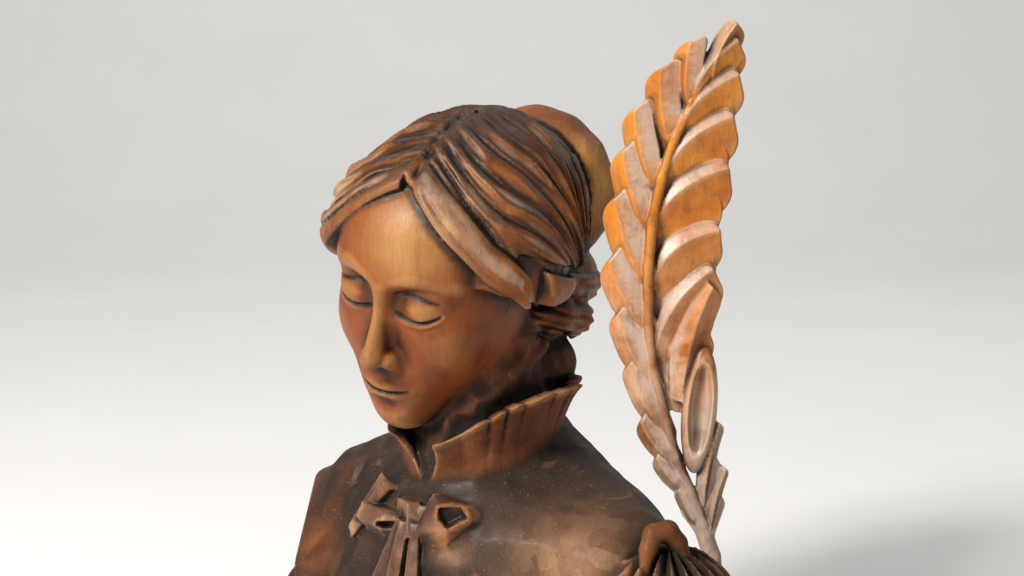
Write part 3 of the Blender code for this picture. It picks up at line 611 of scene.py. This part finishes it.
def surface(field, low, high, cell):
    """Points and quads where the field is 0, from a grid worked out only near the surface."""
    block = 4
    low = np.array(low, float)
    n = np.ceil((np.array(high) - low) / (cell * block**2)).astype(int) * block**2 + 1
    kept = np.ones((n - 1) // block**2, bool)
    values = np.zeros(kept.shape, np.float32)
    for step in (block**2, block):
        index = np.argwhere(kept)
        d = evaluate(field, (index + 0.5) * step * cell + low)
        values[tuple(index.T)] = d
        kept[tuple(index.T)] = np.abs(d) < step * cell * 1.65 + 2
        kept, values = (np.kron(v, np.ones((block,) * 3, v.dtype)) for v in (kept, values))
    need = np.zeros(n, bool)
    full = np.zeros(n, np.float32)
    for corner in np.ndindex(2, 2, 2):
        part = tuple(slice(c, m - 1 + c) for c, m in zip(corner, n))
        need[part] |= kept
        full[part] = np.where(kept, full[part], values)
    index = np.argwhere(need)
    full[tuple(index.T)] = evaluate(field, index * cell + low)
    grid = openvdb.FloatGrid(background=float(cell * block**2))
    grid.copyFromArray(full)
    points, quads = grid.convertToQuads(isovalue=0.0)
    return points * cell + low, quads


def settled(field, points):
    """The points moved onto the surface."""
    slope = slopes(field, points)
    d = evaluate(field, points)
    return points - slope * (d / np.maximum((slope * slope).sum(1), 0.2))[:, None]


def largest_only(bm):
    """Drops every stray body but the largest."""
    unseen = set(bm.verts)
    bodies = []
    while unseen:
        front = [unseen.pop()]
        body = []
        while front:
            vert = front.pop()
            body.append(vert)
            for edge in vert.link_edges:
                other = edge.other_vert(vert)
                if other in unseen:
                    unseen.remove(other)
                    front.append(other)
        bodies.append(body)
    bodies.sort(key=len)
    stray = [vert for body in bodies[:-1] for vert in body]
    bmesh.ops.delete(bm, geom=stray, context="VERTS")


def flat_foot(mesh):
    """Cuts the mesh level at height 0 and closes it there."""
    bm = bmesh.new()
    bm.from_mesh(mesh)
    largest_only(bm)
    cutting = bmesh.ops.bisect_plane(
        bm, geom=bm.verts[:] + bm.edges[:] + bm.faces[:], dist=1e-7,
        plane_co=(0, 0, 0), plane_no=(0, 0, -1), clear_outer=True,
    )
    rim = [e for e in cutting["geom_cut"] if isinstance(e, bmesh.types.BMEdge)]
    bmesh.ops.holes_fill(bm, edges=rim, sides=0)
    bm.to_mesh(mesh)
    bm.free()


def linked(name, data):
    """A new object in the scene."""
    obj = bpy.data.objects.new(name, data)
    bpy.context.scene.collection.objects.link(obj)
    return obj


def carved(name, field, box, cell, triangles):
    """The piece inside a box, on a grid of this cell and thinned to about this many triangles."""
    points, quads = surface(field, *box, cell)
    points = settled(field, points)
    mesh = bpy.data.meshes.new(name)
    mesh.vertices.add(len(points))
    mesh.vertices.foreach_set("co", (points * 0.001).astype(np.float32).ravel())
    mesh.loops.add(quads.size)
    mesh.loops.foreach_set("vertex_index", quads.astype(np.int32).ravel())
    mesh.polygons.add(len(quads))
    mesh.polygons.foreach_set("loop_start", np.arange(0, quads.size, 4, dtype=np.int32))
    mesh.update(calc_edges=True)
    obj = linked(name, mesh)
    thin = obj.modifiers.new("Thin", "DECIMATE")
    thin.ratio = min(1.0, triangles / (2 * len(quads)))
    depsgraph = bpy.context.evaluated_depsgraph_get()
    obj.data = bpy.data.meshes.new_from_object(obj.evaluated_get(depsgraph))
    obj.modifiers.clear()
    bpy.data.meshes.remove(mesh)
    obj.data.name = name
    flat_foot(obj.data)
    obj.data.shade_smooth()
    print(name, len(obj.data.vertices), "points")
    return obj


# ---- masks kept in the colour layers ----
FULL_BEND = 0.16  # curvature, per millimetre, that counts as fully bulging or hollow
ZONE_BLEND = 0.5  # how softly one zone passes into the next, in millimetres
BUST_REACH, FROND_REACH = 6.0, 4.0  # stretch over which bulges are judged, in millimetres
GREYING_HEIGHT = 115.0  # how far up the frond the varnish turns grey

# spots made lighter, partly stain thinned back to light wood and partly painted highlights on the
# face, bun and shoulder: middle and reach of each spot
LIGHTENED_AND_HIGHLIGHT_SPOTS = (
    ((80, -33, 80), (30, 30, 22)),
    ((27, 34, 236), (12, 15, 19)),
    ((38, -64, 230), (14, 12, 12)),
    ((-36, -59, 235), (12, 12, 12)),
    ((-67, -42, 59), (10, 10, 12)),
    ((24, -73, 221), (24, 14, 17)),
    ((23, -52, 86), (9, 7, 8)),
    ((-19, -46, 93), (8, 6, 9)),
)


def open_and_thin(field, points):
    """How shut in the surface is just outside each point, and how thin the wood just inside."""
    slope = slopes(field, points)
    size = np.maximum(np.sqrt((slope * slope).sum(1)), 0.3)
    normal = slope / size[:, None]
    hollow, edge = np.zeros(len(points)), np.zeros(len(points))
    for reach, weight in ((0.9, 0.3), (2.4, 0.3), (6.5, 0.2), (15.0, 0.2)):
        outside = evaluate(field, points + reach * normal) / (reach * size)
        hollow += weight * np.clip(1 - outside, 0, 1)
    for reach, weight in ((0.8, 0.5), (2.0, 0.5)):
        inside = -evaluate(field, points - reach * normal) / (reach * size)
        edge += weight * np.clip(1 - inside, 0, 1)
    return hollow, edge


def swelling(field, points, reach):
    """How far the surface bulges out, and how far it is hollow, over a wider stretch."""
    total = -6 * evaluate(field, points)
    for axis in range(3):
        ahead, behind = both_sides(field, points, axis, reach)
        total += ahead + behind
    bend = total / reach**2 / FULL_BEND
    return np.clip(bend, 0, 1), np.clip(-bend, 0, 1)


def zones(points):
    """How far each point belongs to each zone, and a painted shadow band on the bun beside the
    hair.
    """
    p = np.ascontiguousarray(points.T)
    face, locks, knot, roll = head_parts(p)
    locks = np.minimum(locks, roll)
    parts = [face, locks, knot, collar(p), bow(p), sleeves(p), torso(p), neck(p)]
    near = np.exp(-np.clip(np.stack(parts) - np.min(parts, axis=0), 0, 30) / ZONE_BLEND)
    near /= near.sum(0)
    skin, hair_zone, coil, ruff, ribbon, sleeve, _, throat = near
    # painted shadow of the hair falling on the bun, close beside the hair
    hair_shadow_on_bun = coil * np.clip(1.8 - locks / 1.4, 0, 1)
    # the neck gets the collar's stain over the near-black dress stain: painted shade under the jaw
    return (skin, hair_zone, coil), (ruff + 0.6 * throat, ribbon, sleeve), hair_shadow_on_bun


def cut_marks(points):
    """1 on the gouge cuts of the hair and on the lock along the hairline, where glints are painted.
    """
    q = in_head(np.ascontiguousarray(points.T))
    inside = hairline(q)
    front = np.exp(-(((inside - 9.5) / 3.5) ** 2)) * np.clip((np.abs(q[0]) - 4) / 6, 0, 1)
    front = front * (q[1] < -30)
    return np.maximum(strand_cuts(q) * np.clip((inside - 15) / 2, 0, 1), front)


def bevel_highlights(points):
    """1 on the bevel of each leaflet where a highlight is painted, and 0 on the rib."""
    q = frond_plane(np.ascontiguousarray(points.T))
    best = np.full(len(points), 1e3)
    pale = np.zeros(len(points))
    for rows, side in ((LEFT_LEAFLETS, 1), (RIGHT_LEAFLETS, -1)):
        for row in rows:
            _, b, t = leaflet_axes(q, row, side)
            d = leaflet(q, row, side)
            if side > 0:
                band = np.clip((0.2 - b) / 0.3, 0, 1) * np.clip((t - 0.15) / 0.3, 0, 1)
            else:
                band = np.clip((-0.3 - b) / 0.3, 0, 1) * np.clip((t - 0.05) / 0.2, 0, 1)
            pale = np.where(d < best, band, pale)
            best = np.minimum(best, d)
    return np.where(chain(q, RIB, RIB_RADII, 1) < best, 0, pale)


def mesh_points(mesh):
    points = np.empty(len(mesh.vertices) * 3, np.float32)
    mesh.vertices.foreach_get("co", points)
    return points.reshape(-1, 3) * 1000


def colour_layer(mesh, name, red, green, blue):
    layer = mesh.color_attributes.new(name, "FLOAT_COLOR", "POINT")
    rows = np.stack([red, green, blue, np.ones_like(red)], axis=1).astype(np.float32)
    layer.data.foreach_set("color", np.clip(rows, 0, 1).ravel())


# ---- carved pieces ----
# the box each piece is carved in, the grid's cell in millimetres and the most triangles
BUST_GRID = ((-165, -110, -12), (175, 112, 300)), 0.8, 190000
FROND_GRID = ((55, -30, -12), (165, 80, 320)), 0.6, 120000


def carved_bust():
    piece = carved("carved_bust", bust, *BUST_GRID)
    points = mesh_points(piece.data)
    hollow, edge = open_and_thin(bust, points)
    bulge, dip = swelling(bust, points, BUST_REACH)
    head_zones, dress_zones, hair_shadow_on_bun = zones(points)
    # the painted shadow band on the bun is darkened along with the hollows
    hollow = np.maximum(hollow, hair_shadow_on_bun)
    spots = [np.exp(-(((points - at) / reach) ** 2).sum(1)) for at, reach in LIGHTENED_AND_HIGHLIGHT_SPOTS]
    # dark glaze and painted shade, light edges, and lightened spots with painted highlights
    colour_layer(piece.data, "wear_and_painted_light", hollow, edge, np.max(spots, axis=0))
    colour_layer(piece.data, "form", bulge, dip, cut_marks(points))
    colour_layer(piece.data, "zone_a", *head_zones)
    colour_layer(piece.data, "zone_b", *dress_zones)
    return piece


def carved_frond():
    piece = carved("carved_frond", frond, *FROND_GRID)
    points = mesh_points(piece.data)
    hollow, edge = open_and_thin(frond, points)
    bulge, dip = swelling(frond, points, FROND_REACH)
    low_down = np.clip(1.2 - (points[:, 2] - FROND_FOOT[2]) / GREYING_HEIGHT, 0, 1)
    # dark glaze and painted shade, light edges, and the greying low down
    colour_layer(piece.data, "wear_and_painted_light", hollow, edge, low_down)
    colour_layer(piece.data, "form", bulge, dip, bevel_highlights(points))
    return piece


bust_piece = carved_bust()
frond_piece = carved_frond()


# ---- materials ----
class Nodes:
    """A short way to write a node tree."""

    def __init__(self, tree):
        self.tree = tree

    def add(self, kind, settings=None, **inputs):
        """A new node. An input is given by its name, or by _ and its number."""
        node = self.tree.nodes.new(kind)
        for key, value in (settings or {}).items():
            setattr(node, key, value)
        for key, value in inputs.items():
            name = int(key[1:]) if key[1:].isdigit() else key.replace("_", " ")
            self.put(node.inputs[name], value)
        return node

    def put(self, socket, value):
        if isinstance(value, bpy.types.NodeSocket):
            self.tree.links.new(value, socket)
        else:
            socket.default_value = value

    def maths(self, how, a, b=0.0, c=0.0):
        return self.add("ShaderNodeMath", {"operation": how}, _0=a, _1=b, _2=c).outputs[0]

    def times(self, a, b):
        return self.maths("MULTIPLY", a, b)

    def times_plus(self, a, b, c):
        return self.maths("MULTIPLY_ADD", a, b, c)

    def larger(self, a, b):
        return self.maths("MAXIMUM", a, b)

    def spread(self, value, low, high, to_low=0.0, to_high=1.0):
        """The range from low to high stretched to a new one and kept inside it."""
        node = self.add(
            "ShaderNodeMapRange", _0=value, _1=low, _2=high, _3=to_low, _4=to_high
        )
        return node.outputs[0]

    def mix(self, amount, a, b, how="MIX"):
        settings = {"data_type": "RGBA", "blend_type": how}
        return self.add("ShaderNodeMix", settings, _0=amount, _6=a, _7=b).outputs[2]

    def darkened(self, amount, tone, by):
        return self.mix(amount, tone, self.mix(1.0, tone, (*by, 1), "MULTIPLY"))

    def noise(self, where, scale, detail=3.0, rough=0.55, bend=0.0):
        node = self.add(
            "ShaderNodeTexNoise", Vector=where, Scale=scale, Detail=detail,
            Roughness=rough, Distortion=bend,
        )
        return node.outputs[0]

    def stretched(self, where, x, y, z):
        return self.add("ShaderNodeMapping", Vector=where, Scale=(x, y, z)).outputs[0]

    def masks(self, name):
        """The three masks kept in a colour layer."""
        layer = self.add("ShaderNodeAttribute", {"attribute_name": name}).outputs[0]
        return self.add("ShaderNodeSeparateColor", Color=layer).outputs


SWAY = (0.012, 0.012, 0.0)  # how far the grain wanders sideways, in metres


def wood_marks():
    """Shared marks of carved wood: grain lines, pores, blotches of stain and gouge facets."""
    tree = bpy.data.node_groups.new("wood_marks", "ShaderNodeTree")
    for name in ("Grain", "Pores", "Cloud", "Facets", "Scratches", "Mottle", "Cells"):
        tree.interface.new_socket(name, in_out="OUTPUT", socket_type="NodeSocketFloat")
    n = Nodes(tree)
    where = n.add("ShaderNodeTexCoord").outputs["Object"]
    sway = n.add("ShaderNodeTexNoise", Vector=where, Scale=14.0, Detail=2.0).outputs["Color"]
    swayed = n.add(
        "ShaderNodeVectorMath", {"operation": "MULTIPLY_ADD"}, _0=sway, _1=SWAY, _2=where
    )
    lean = swayed.outputs[0]
    grain = n.noise(n.stretched(lean, 620, 620, 16), 1.0, 4.0, 0.6)
    pores = n.noise(n.stretched(lean, 1500, 1500, 130), 1.0, 1.0, 0.5)
    cloud = n.noise(where, 34.0, 5.0, 0.6, 0.4)
    gouges = n.add("ShaderNodeTexVoronoi", {"feature": "F1"}, Vector=lean, Scale=125.0).outputs
    one_of_each = n.add("ShaderNodeSeparateColor", Color=gouges["Color"]).outputs[0]
    scratch = n.noise(n.stretched(where, 260, 1900, 1500), 1.0, 2.0, 0.5)
    mottle = n.noise(n.stretched(lean, 330, 330, 190), 1.0, 6.0, 0.72, 0.6)
    out = n.add("NodeGroupOutput")
    n.put(out.inputs["Grain"], n.spread(grain, 0.3, 0.7))
    n.put(out.inputs["Pores"], n.spread(pores, 0.63, 0.72))
    n.put(out.inputs["Cloud"], n.spread(cloud, 0.32, 0.68))
    n.put(out.inputs["Facets"], n.maths("POWER", gouges["Distance"], 2.0))
    n.put(out.inputs["Cells"], one_of_each)
    n.put(out.inputs["Scratches"], n.spread(scratch, 0.66, 0.72))
    n.put(out.inputs["Mottle"], n.spread(mottle, 0.3, 0.7))
    return tree


MARKS = wood_marks()
GRAIN_HEIGHT, MOTTLE_HEIGHT, PORE_DEPTH = 0.04, 0.07, 0.05  # millimetres


def fresh(name):
    """A new material with an empty node tree."""
    material = bpy.data.materials.new(name)
    material.use_nodes = True
    material.node_tree.nodes.clear()
    return material, Nodes(material.node_tree)


def marks_of(n):
    return n.add("ShaderNodeGroup", {"node_tree": MARKS}).outputs


def relief(n, marks, facet_depth):
    """Facets, grain and pores, in millimetres, as a normal."""
    high = n.times(marks["Facets"], facet_depth)
    high = n.times_plus(marks["Grain"], GRAIN_HEIGHT, high)
    high = n.times_plus(marks["Mottle"], MOTTLE_HEIGHT, high)
    high = n.times_plus(marks["Pores"], -PORE_DEPTH, high)
    return n.add("ShaderNodeBump", Strength=1.0, Distance=0.001, Height=high).outputs[0]


def dull_between(n, marks, amount):
    """Shows the dull wood between the grain lines."""
    return n.times(n.maths("SUBTRACT", 1.0, n.times(marks["Grain"], marks["Mottle"])), amount)


# darkest and lightest tone of each stain; the lighter tones used in the spots also paint
# highlights, the top-of-hair tone is painted shade, and the tone for the hair's gouge cuts paints
# glints
STAINS = {
    "dress": ((0.020, 0.013, 0.010), (0.064, 0.036, 0.023)),
    "dress_rubbed": ((0.24, 0.115, 0.055), (0.58, 0.35, 0.20)),
    "sleeve": ((0.040, 0.018, 0.010), (0.17, 0.058, 0.020)),
    "sleeve_rubbed": ((0.40, 0.12, 0.026), (0.62, 0.24, 0.055)),
    "collar": ((0.13, 0.042, 0.016), (0.36, 0.12, 0.042)),
    "ribbon": ((0.10, 0.058, 0.042), (0.27, 0.145, 0.092)),
    "ribbon_rubbed": ((0.36, 0.125, 0.030), (0.60, 0.27, 0.075)),
    "bun": ((0.15, 0.042, 0.015), (0.34, 0.105, 0.030)),
    "bun_rubbed": ((0.82, 0.43, 0.10), (0.98, 0.62, 0.20)),
    "hair": ((0.14, 0.042, 0.012), (0.48, 0.17, 0.040)),
    "hair_top_shade": ((0.040, 0.022, 0.015), (0.12, 0.058, 0.032)),
    "hair_rubbed": ((0.60, 0.34, 0.16), (0.74, 0.52, 0.34)),
    "hair_cut_glint": ((0.30, 0.17, 0.10), (0.66, 0.50, 0.38)),
    "skin": ((0.20, 0.040, 0.008), (0.36, 0.105, 0.020)),
    "skin_rubbed": ((0.44, 0.21, 0.055), (0.62, 0.37, 0.14)),
    "edge": ((0.46, 0.20, 0.065), (0.60, 0.38, 0.20)),
}
# dark glaze and painted shade across wide hollows
DIP_SHADE_AND_GLAZE_TONE = (0.030, 0.016, 0.010, 1)
# near-black glaze that also paints shade into the hollows
GLAZE_AND_SHADE_TONE = (0.012, 0.008, 0.006, 1)
PORE_TONE = (0.03, 0.014, 0.008, 1)
SCRATCH_TONE = (0.42, 0.25, 0.14, 1)


def stained_wood():
    """Several dark stains, thinned to light wood on the raised parts and glazed in the hollows,
    with painted highlights on the raised parts and spots and painted shade in the hollows and on
    top of the hair.
    """
    material, n = fresh("stained_wood_carved")
    marks = marks_of(n)
    cloud = marks["Cloud"]
    hollow, edge, lightened_and_highlit = n.masks("wear_and_painted_light")
    bulge, dip, cuts = n.masks("form")
    skin, locks, coil = n.masks("zone_a")
    ruff, ribbon, sleeve = n.masks("zone_b")
    normal = n.add("ShaderNodeNewGeometry").outputs["Normal"]
    upward = n.add("ShaderNodeSeparateXYZ", _0=normal).outputs["Z"]
    facing_up = n.spread(upward, 0.28, 0.85)

    def blotched(stain, how_light=cloud):
        dark, light = STAINS[stain]
        return n.mix(how_light, (*dark, 1), (*light, 1))

    # the stain's light tone in the spots: stain thinned to light wood, and painted highlights
    def rubbed_and_lit(stain):
        return n.mix(lightened_and_highlit, blotched(stain), blotched(stain + "_rubbed"))

    # dress lighter in the spots, as on the near shoulder: thinned stain and a painted highlight
    tone = n.mix(lightened_and_highlit, blotched("dress"), blotched("dress_rubbed", marks["Cells"]))
    tone = n.mix(sleeve, tone, rubbed_and_lit("sleeve"))
    # collar stain; on the neck only in part, over the dark dress stain, as painted shade under the
    # jaw
    tone = n.mix(ruff, tone, blotched("collar"))
    tone = n.mix(ribbon, tone, rubbed_and_lit("ribbon"))
    # bun lit gold in its spot: a painted highlight
    tone = n.mix(coil, tone, rubbed_and_lit("bun"))
    # hair darker where it faces up: painted shade on the top of the head
    strands = n.mix(n.times(facing_up, 0.75), blotched("hair"), blotched("hair_top_shade"))
    strands = n.mix(lightened_and_highlit, strands, blotched("hair_rubbed"))
    tone = n.mix(locks, tone, strands)
    tone = n.mix(skin, tone, blotched("skin"))
    # face lighter on its bulges and in the spots: stain thinned there, and painted highlights
    raised = n.larger(n.times(n.spread(bulge, 0.2, 0.9), 0.6), lightened_and_highlit)
    tone = n.mix(n.times(n.times(skin, raised), 0.85), tone, blotched("skin_rubbed"))
    # darker across wide hollows: glaze and painted shade
    tone = n.mix(n.times(n.spread(dip, 0.05, 0.7), 0.65), tone, DIP_SHADE_AND_GLAZE_TONE)
    # light wood on the edges, and painted glints on the gouge cuts of the hair and the lock along
    # the hairline
    rub = n.spread(n.times_plus(cloud, 0.12, edge), 0.16, 0.5)
    tone = n.mix(n.times(rub, 0.7), tone, blotched("edge"))
    cut_glint = n.times(n.times(n.spread(cuts, 0.5, 0.9), locks), 0.8)
    tone = n.mix(cut_glint, tone, blotched("hair_cut_glint"))
    # painted shade over the top of the hair
    crown_shade = n.times(n.times(facing_up, locks), 0.85)
    tone = n.darkened(crown_shade, tone, (0.26, 0.28, 0.31))
    spared = n.spread(n.larger(skin, locks), 0.0, 1.0, 0.6, 0.25)
    tone = n.mix(n.times(marks["Scratches"], spared), tone, SCRATCH_TONE)
    tone = n.darkened(dull_between(n, marks, 0.42), tone, (0.42, 0.30, 0.22))
    # dark glaze and painted shade in the hollows, and dark pores
    sunk = n.maths("SUBTRACT", n.times_plus(cloud, 0.08, hollow), n.times(locks, 0.10))
    tone = n.mix(n.times(n.spread(sunk, 0.08, 0.42), 0.95), tone, GLAZE_AND_SHADE_TONE)
    specks = n.times(marks["Pores"], n.times_plus(skin, -0.3, 0.42))
    tone = n.mix(specks, tone, PORE_TONE)
    patchy = n.times(marks["Cells"], n.times_plus(skin, -0.42, 0.5))
    tone = n.darkened(patchy, tone, (0.50, 0.42, 0.36))
    tone = n.darkened(n.times(marks["Mottle"], 0.45), tone, (0.55, 0.42, 0.32))
    # the dress shows its gouge facets and is duller than the head and the bow
    smooth = n.larger(n.larger(skin, locks), ribbon)
    facets = n.times_plus(smooth, -0.26, n.times_plus(lightened_and_highlit, 0.2, 0.32))
    rough = n.spread(n.maths("ADD", cloud, hollow), 0.0, 1.4, 0.36, 0.66)
    rough = n.maths("ADD", rough, n.spread(smooth, 0.0, 1.0, 0.2, 0.0))
    shader = n.add(
        "ShaderNodeBsdfPrincipled", Base_Color=tone, Roughness=rough, Specular_IOR_Level=0.25,
        Coat_Weight=0.05, Coat_Roughness=0.3, Normal=relief(n, marks, facets),
    )
    n.add("ShaderNodeOutputMaterial", Surface=shader.outputs[0])
    return material


def honey_wood():
    """Orange varnish, greyed low down, with painted highlights on the leaflets' bevels and dark
    glaze and painted shade in the hollows.
    """
    material, n = fresh("honey_wood_carved")
    marks = marks_of(n)
    cloud = marks["Cloud"]
    hollow, edge, low_down = n.masks("wear_and_painted_light")
    _, dip, pale = n.masks("form")
    tone = n.mix(cloud, (0.48, 0.125, 0.012, 1), (0.84, 0.33, 0.044, 1))
    greyed = n.mix(n.spread(cloud, 0.25, 0.7), (0.12, 0.055, 0.032, 1), (0.66, 0.56, 0.49, 1))
    tone = n.mix(n.times(low_down, 0.85), tone, greyed)
    # painted highlights on the leaflets' bevels
    bevel = n.times(pale, n.spread(cloud, 0.1, 0.7, 0.35, 0.85))
    tone = n.mix(bevel, tone, (0.64, 0.51, 0.42, 1))
    brown = n.times(marks["Cells"], n.spread(marks["Mottle"], 0.35, 0.9))
    tone = n.mix(n.times(brown, 0.6), tone, (0.20, 0.065, 0.020, 1))
    # darker across wide hollows: glaze and painted shade
    tone = n.mix(n.times(n.spread(dip, 0.05, 0.6), 0.65), tone, (0.12, 0.038, 0.013, 1))
    rub = n.spread(n.times_plus(cloud, 0.12, edge), 0.16, 0.55)
    tone = n.mix(n.times(rub, 0.6), tone, (0.62, 0.40, 0.22, 1))
    tone = n.darkened(dull_between(n, marks, 0.4), tone, (0.45, 0.36, 0.3))
    # dark glaze and painted shade in the hollows
    glaze_and_shade = n.spread(n.times_plus(cloud, 0.1, hollow), 0.10, 0.55)
    tone = n.mix(n.times(glaze_and_shade, 0.85), tone, (0.05, 0.022, 0.012, 1))
    rough = n.spread(n.maths("ADD", cloud, hollow), 0.0, 1.4, 0.24, 0.5)
    shader = n.add(
        "ShaderNodeBsdfPrincipled", Base_Color=tone, Roughness=rough, Specular_IOR_Level=0.28,
        Coat_Weight=0.08, Coat_Roughness=0.2, Normal=relief(n, marks, 0.2),
    )
    n.add("ShaderNodeOutputMaterial", Surface=shader.outputs[0])
    return material


for piece, node, finish, material in (
    (bust_piece, "saint_bust", "stained_wood", stained_wood()),
    (frond_piece, "palm_frond", "honey_wood", honey_wood()),
):
    piece.data.materials.clear()
    piece.data.materials.append(material)
    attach(piece, "root")
    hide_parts(node)

# ---- stage, in metres ----
AZIMUTH, ELEVATION = math.radians(43), math.radians(10)
FLOOR_FRONT, FLOOR_BACK, FLOOR_HALF_WIDTH = -2.4, 1.2, 3.0
SWEEP_RADIUS, WALL_TOP = 0.8, 3.2
NECK_HEIGHT = 0.112  # the camera is placed from the foot of the neck
CAMERA_RIGHT, CAMERA_UP, CAMERA_BACK = 0.00765, 0.0752, 1.088

floor_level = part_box("saint_bust")[0][2]
away = Vector((-math.sin(AZIMUTH), math.cos(AZIMUTH), 0))
right = Vector((math.cos(AZIMUTH), math.sin(AZIMUTH), 0))
back = -away * math.cos(ELEVATION) + Vector((0, 0, math.sin(ELEVATION)))
up = back.cross(right)


def backdrop():
    """A pale floor that curves up into a wall behind the statue."""
    bm = bmesh.new()
    profile = [(FLOOR_FRONT, 0.0), (FLOOR_BACK, 0.0)]
    for a in np.radians(np.arange(6, 91, 6)):
        profile.append((FLOOR_BACK + SWEEP_RADIUS * math.sin(a), SWEEP_RADIUS * (1 - math.cos(a))))
    profile.append((FLOOR_BACK + SWEEP_RADIUS, WALL_TOP))
    rows = []
    for side in (-FLOOR_HALF_WIDTH, FLOOR_HALF_WIDTH):
        places = [away * d + right * side + Vector((0, 0, floor_level + h)) for d, h in profile]
        rows.append([bm.verts.new(place) for place in places])
    for i in range(len(profile) - 1):
        bm.faces.new((rows[0][i], rows[1][i], rows[1][i + 1], rows[0][i + 1]))
    mesh = bpy.data.meshes.new("backdrop")
    bm.to_mesh(mesh)
    bm.free()
    mesh.shade_smooth()
    obj = linked("backdrop", mesh)
    material, n = fresh("pale_backdrop")
    where = n.add("ShaderNodeTexCoord").outputs["Object"]
    tone = n.mix(n.noise(where, 9.0), (0.74, 0.735, 0.72, 1), (0.80, 0.795, 0.78, 1))
    shader = n.add("ShaderNodeBsdfPrincipled", Base_Color=tone, Roughness=0.9)
    n.add("ShaderNodeOutputMaterial", Surface=shader.outputs[0])
    mesh.materials.append(material)


backdrop()

# ---- camera ----
camera = bpy.data.cameras.new("camera")
camera.lens, camera.sensor_width = 85.0, 36.0
camera_object = linked("camera", camera)
camera_place = Vector((0, 0, floor_level + NECK_HEIGHT))
camera_place += CAMERA_RIGHT * right + CAMERA_UP * up + CAMERA_BACK * back
turned = Matrix((right, up, back)).transposed().to_4x4()
camera_object.matrix_world = Matrix.Translation(camera_place) @ turned
bpy.context.scene.camera = camera_object


# ---- lights ----
def softbox(name, place, target, size, power, colour=(1, 1, 1)):
    light = bpy.data.lights.new(name, "AREA")
    light.shape = "DISK"
    light.size, light.energy, light.color = size, power, colour
    obj = linked(name, light)
    obj.location = place
    obj.rotation_euler = (target - place).to_track_quat("-Z", "Y").to_euler()


# name, distances back, right and up from the middle of the statue, size, watts, colour
STUDIO = (
    ("key", 0.75, -0.68, 0.55, 0.32, 22, (1.0, 0.97, 0.92)),
    ("fill", 0.75, 0.75, 0.35, 0.8, 1.4, (1.0, 0.97, 0.94)),
    ("rim", -0.5, 0.8, 0.7, 0.5, 1.3, (1.0, 0.98, 0.95)),
)
middle = Vector((0.0, -0.01, 0.19))
for name, b, r, u, size, power, colour in STUDIO:
    softbox(name, middle + b * back + r * right + u * up, middle, size, power, colour)
softbox("wall", away * 0.5 + Vector((0, 0, 1.9)), away * 2.0 + Vector((0, 0, 0.5)), 1.4, 20)

world = bpy.data.worlds.new("studio")
bpy.context.scene.world = world
world.use_nodes = True
world.node_tree.nodes["Background"].inputs["Color"].default_value = (0.95, 0.96, 1.0, 1)
world.node_tree.nodes["Background"].inputs["Strength"].default_value = 0.13
bpy.context.scene.view_settings.view_transform = "Standard"
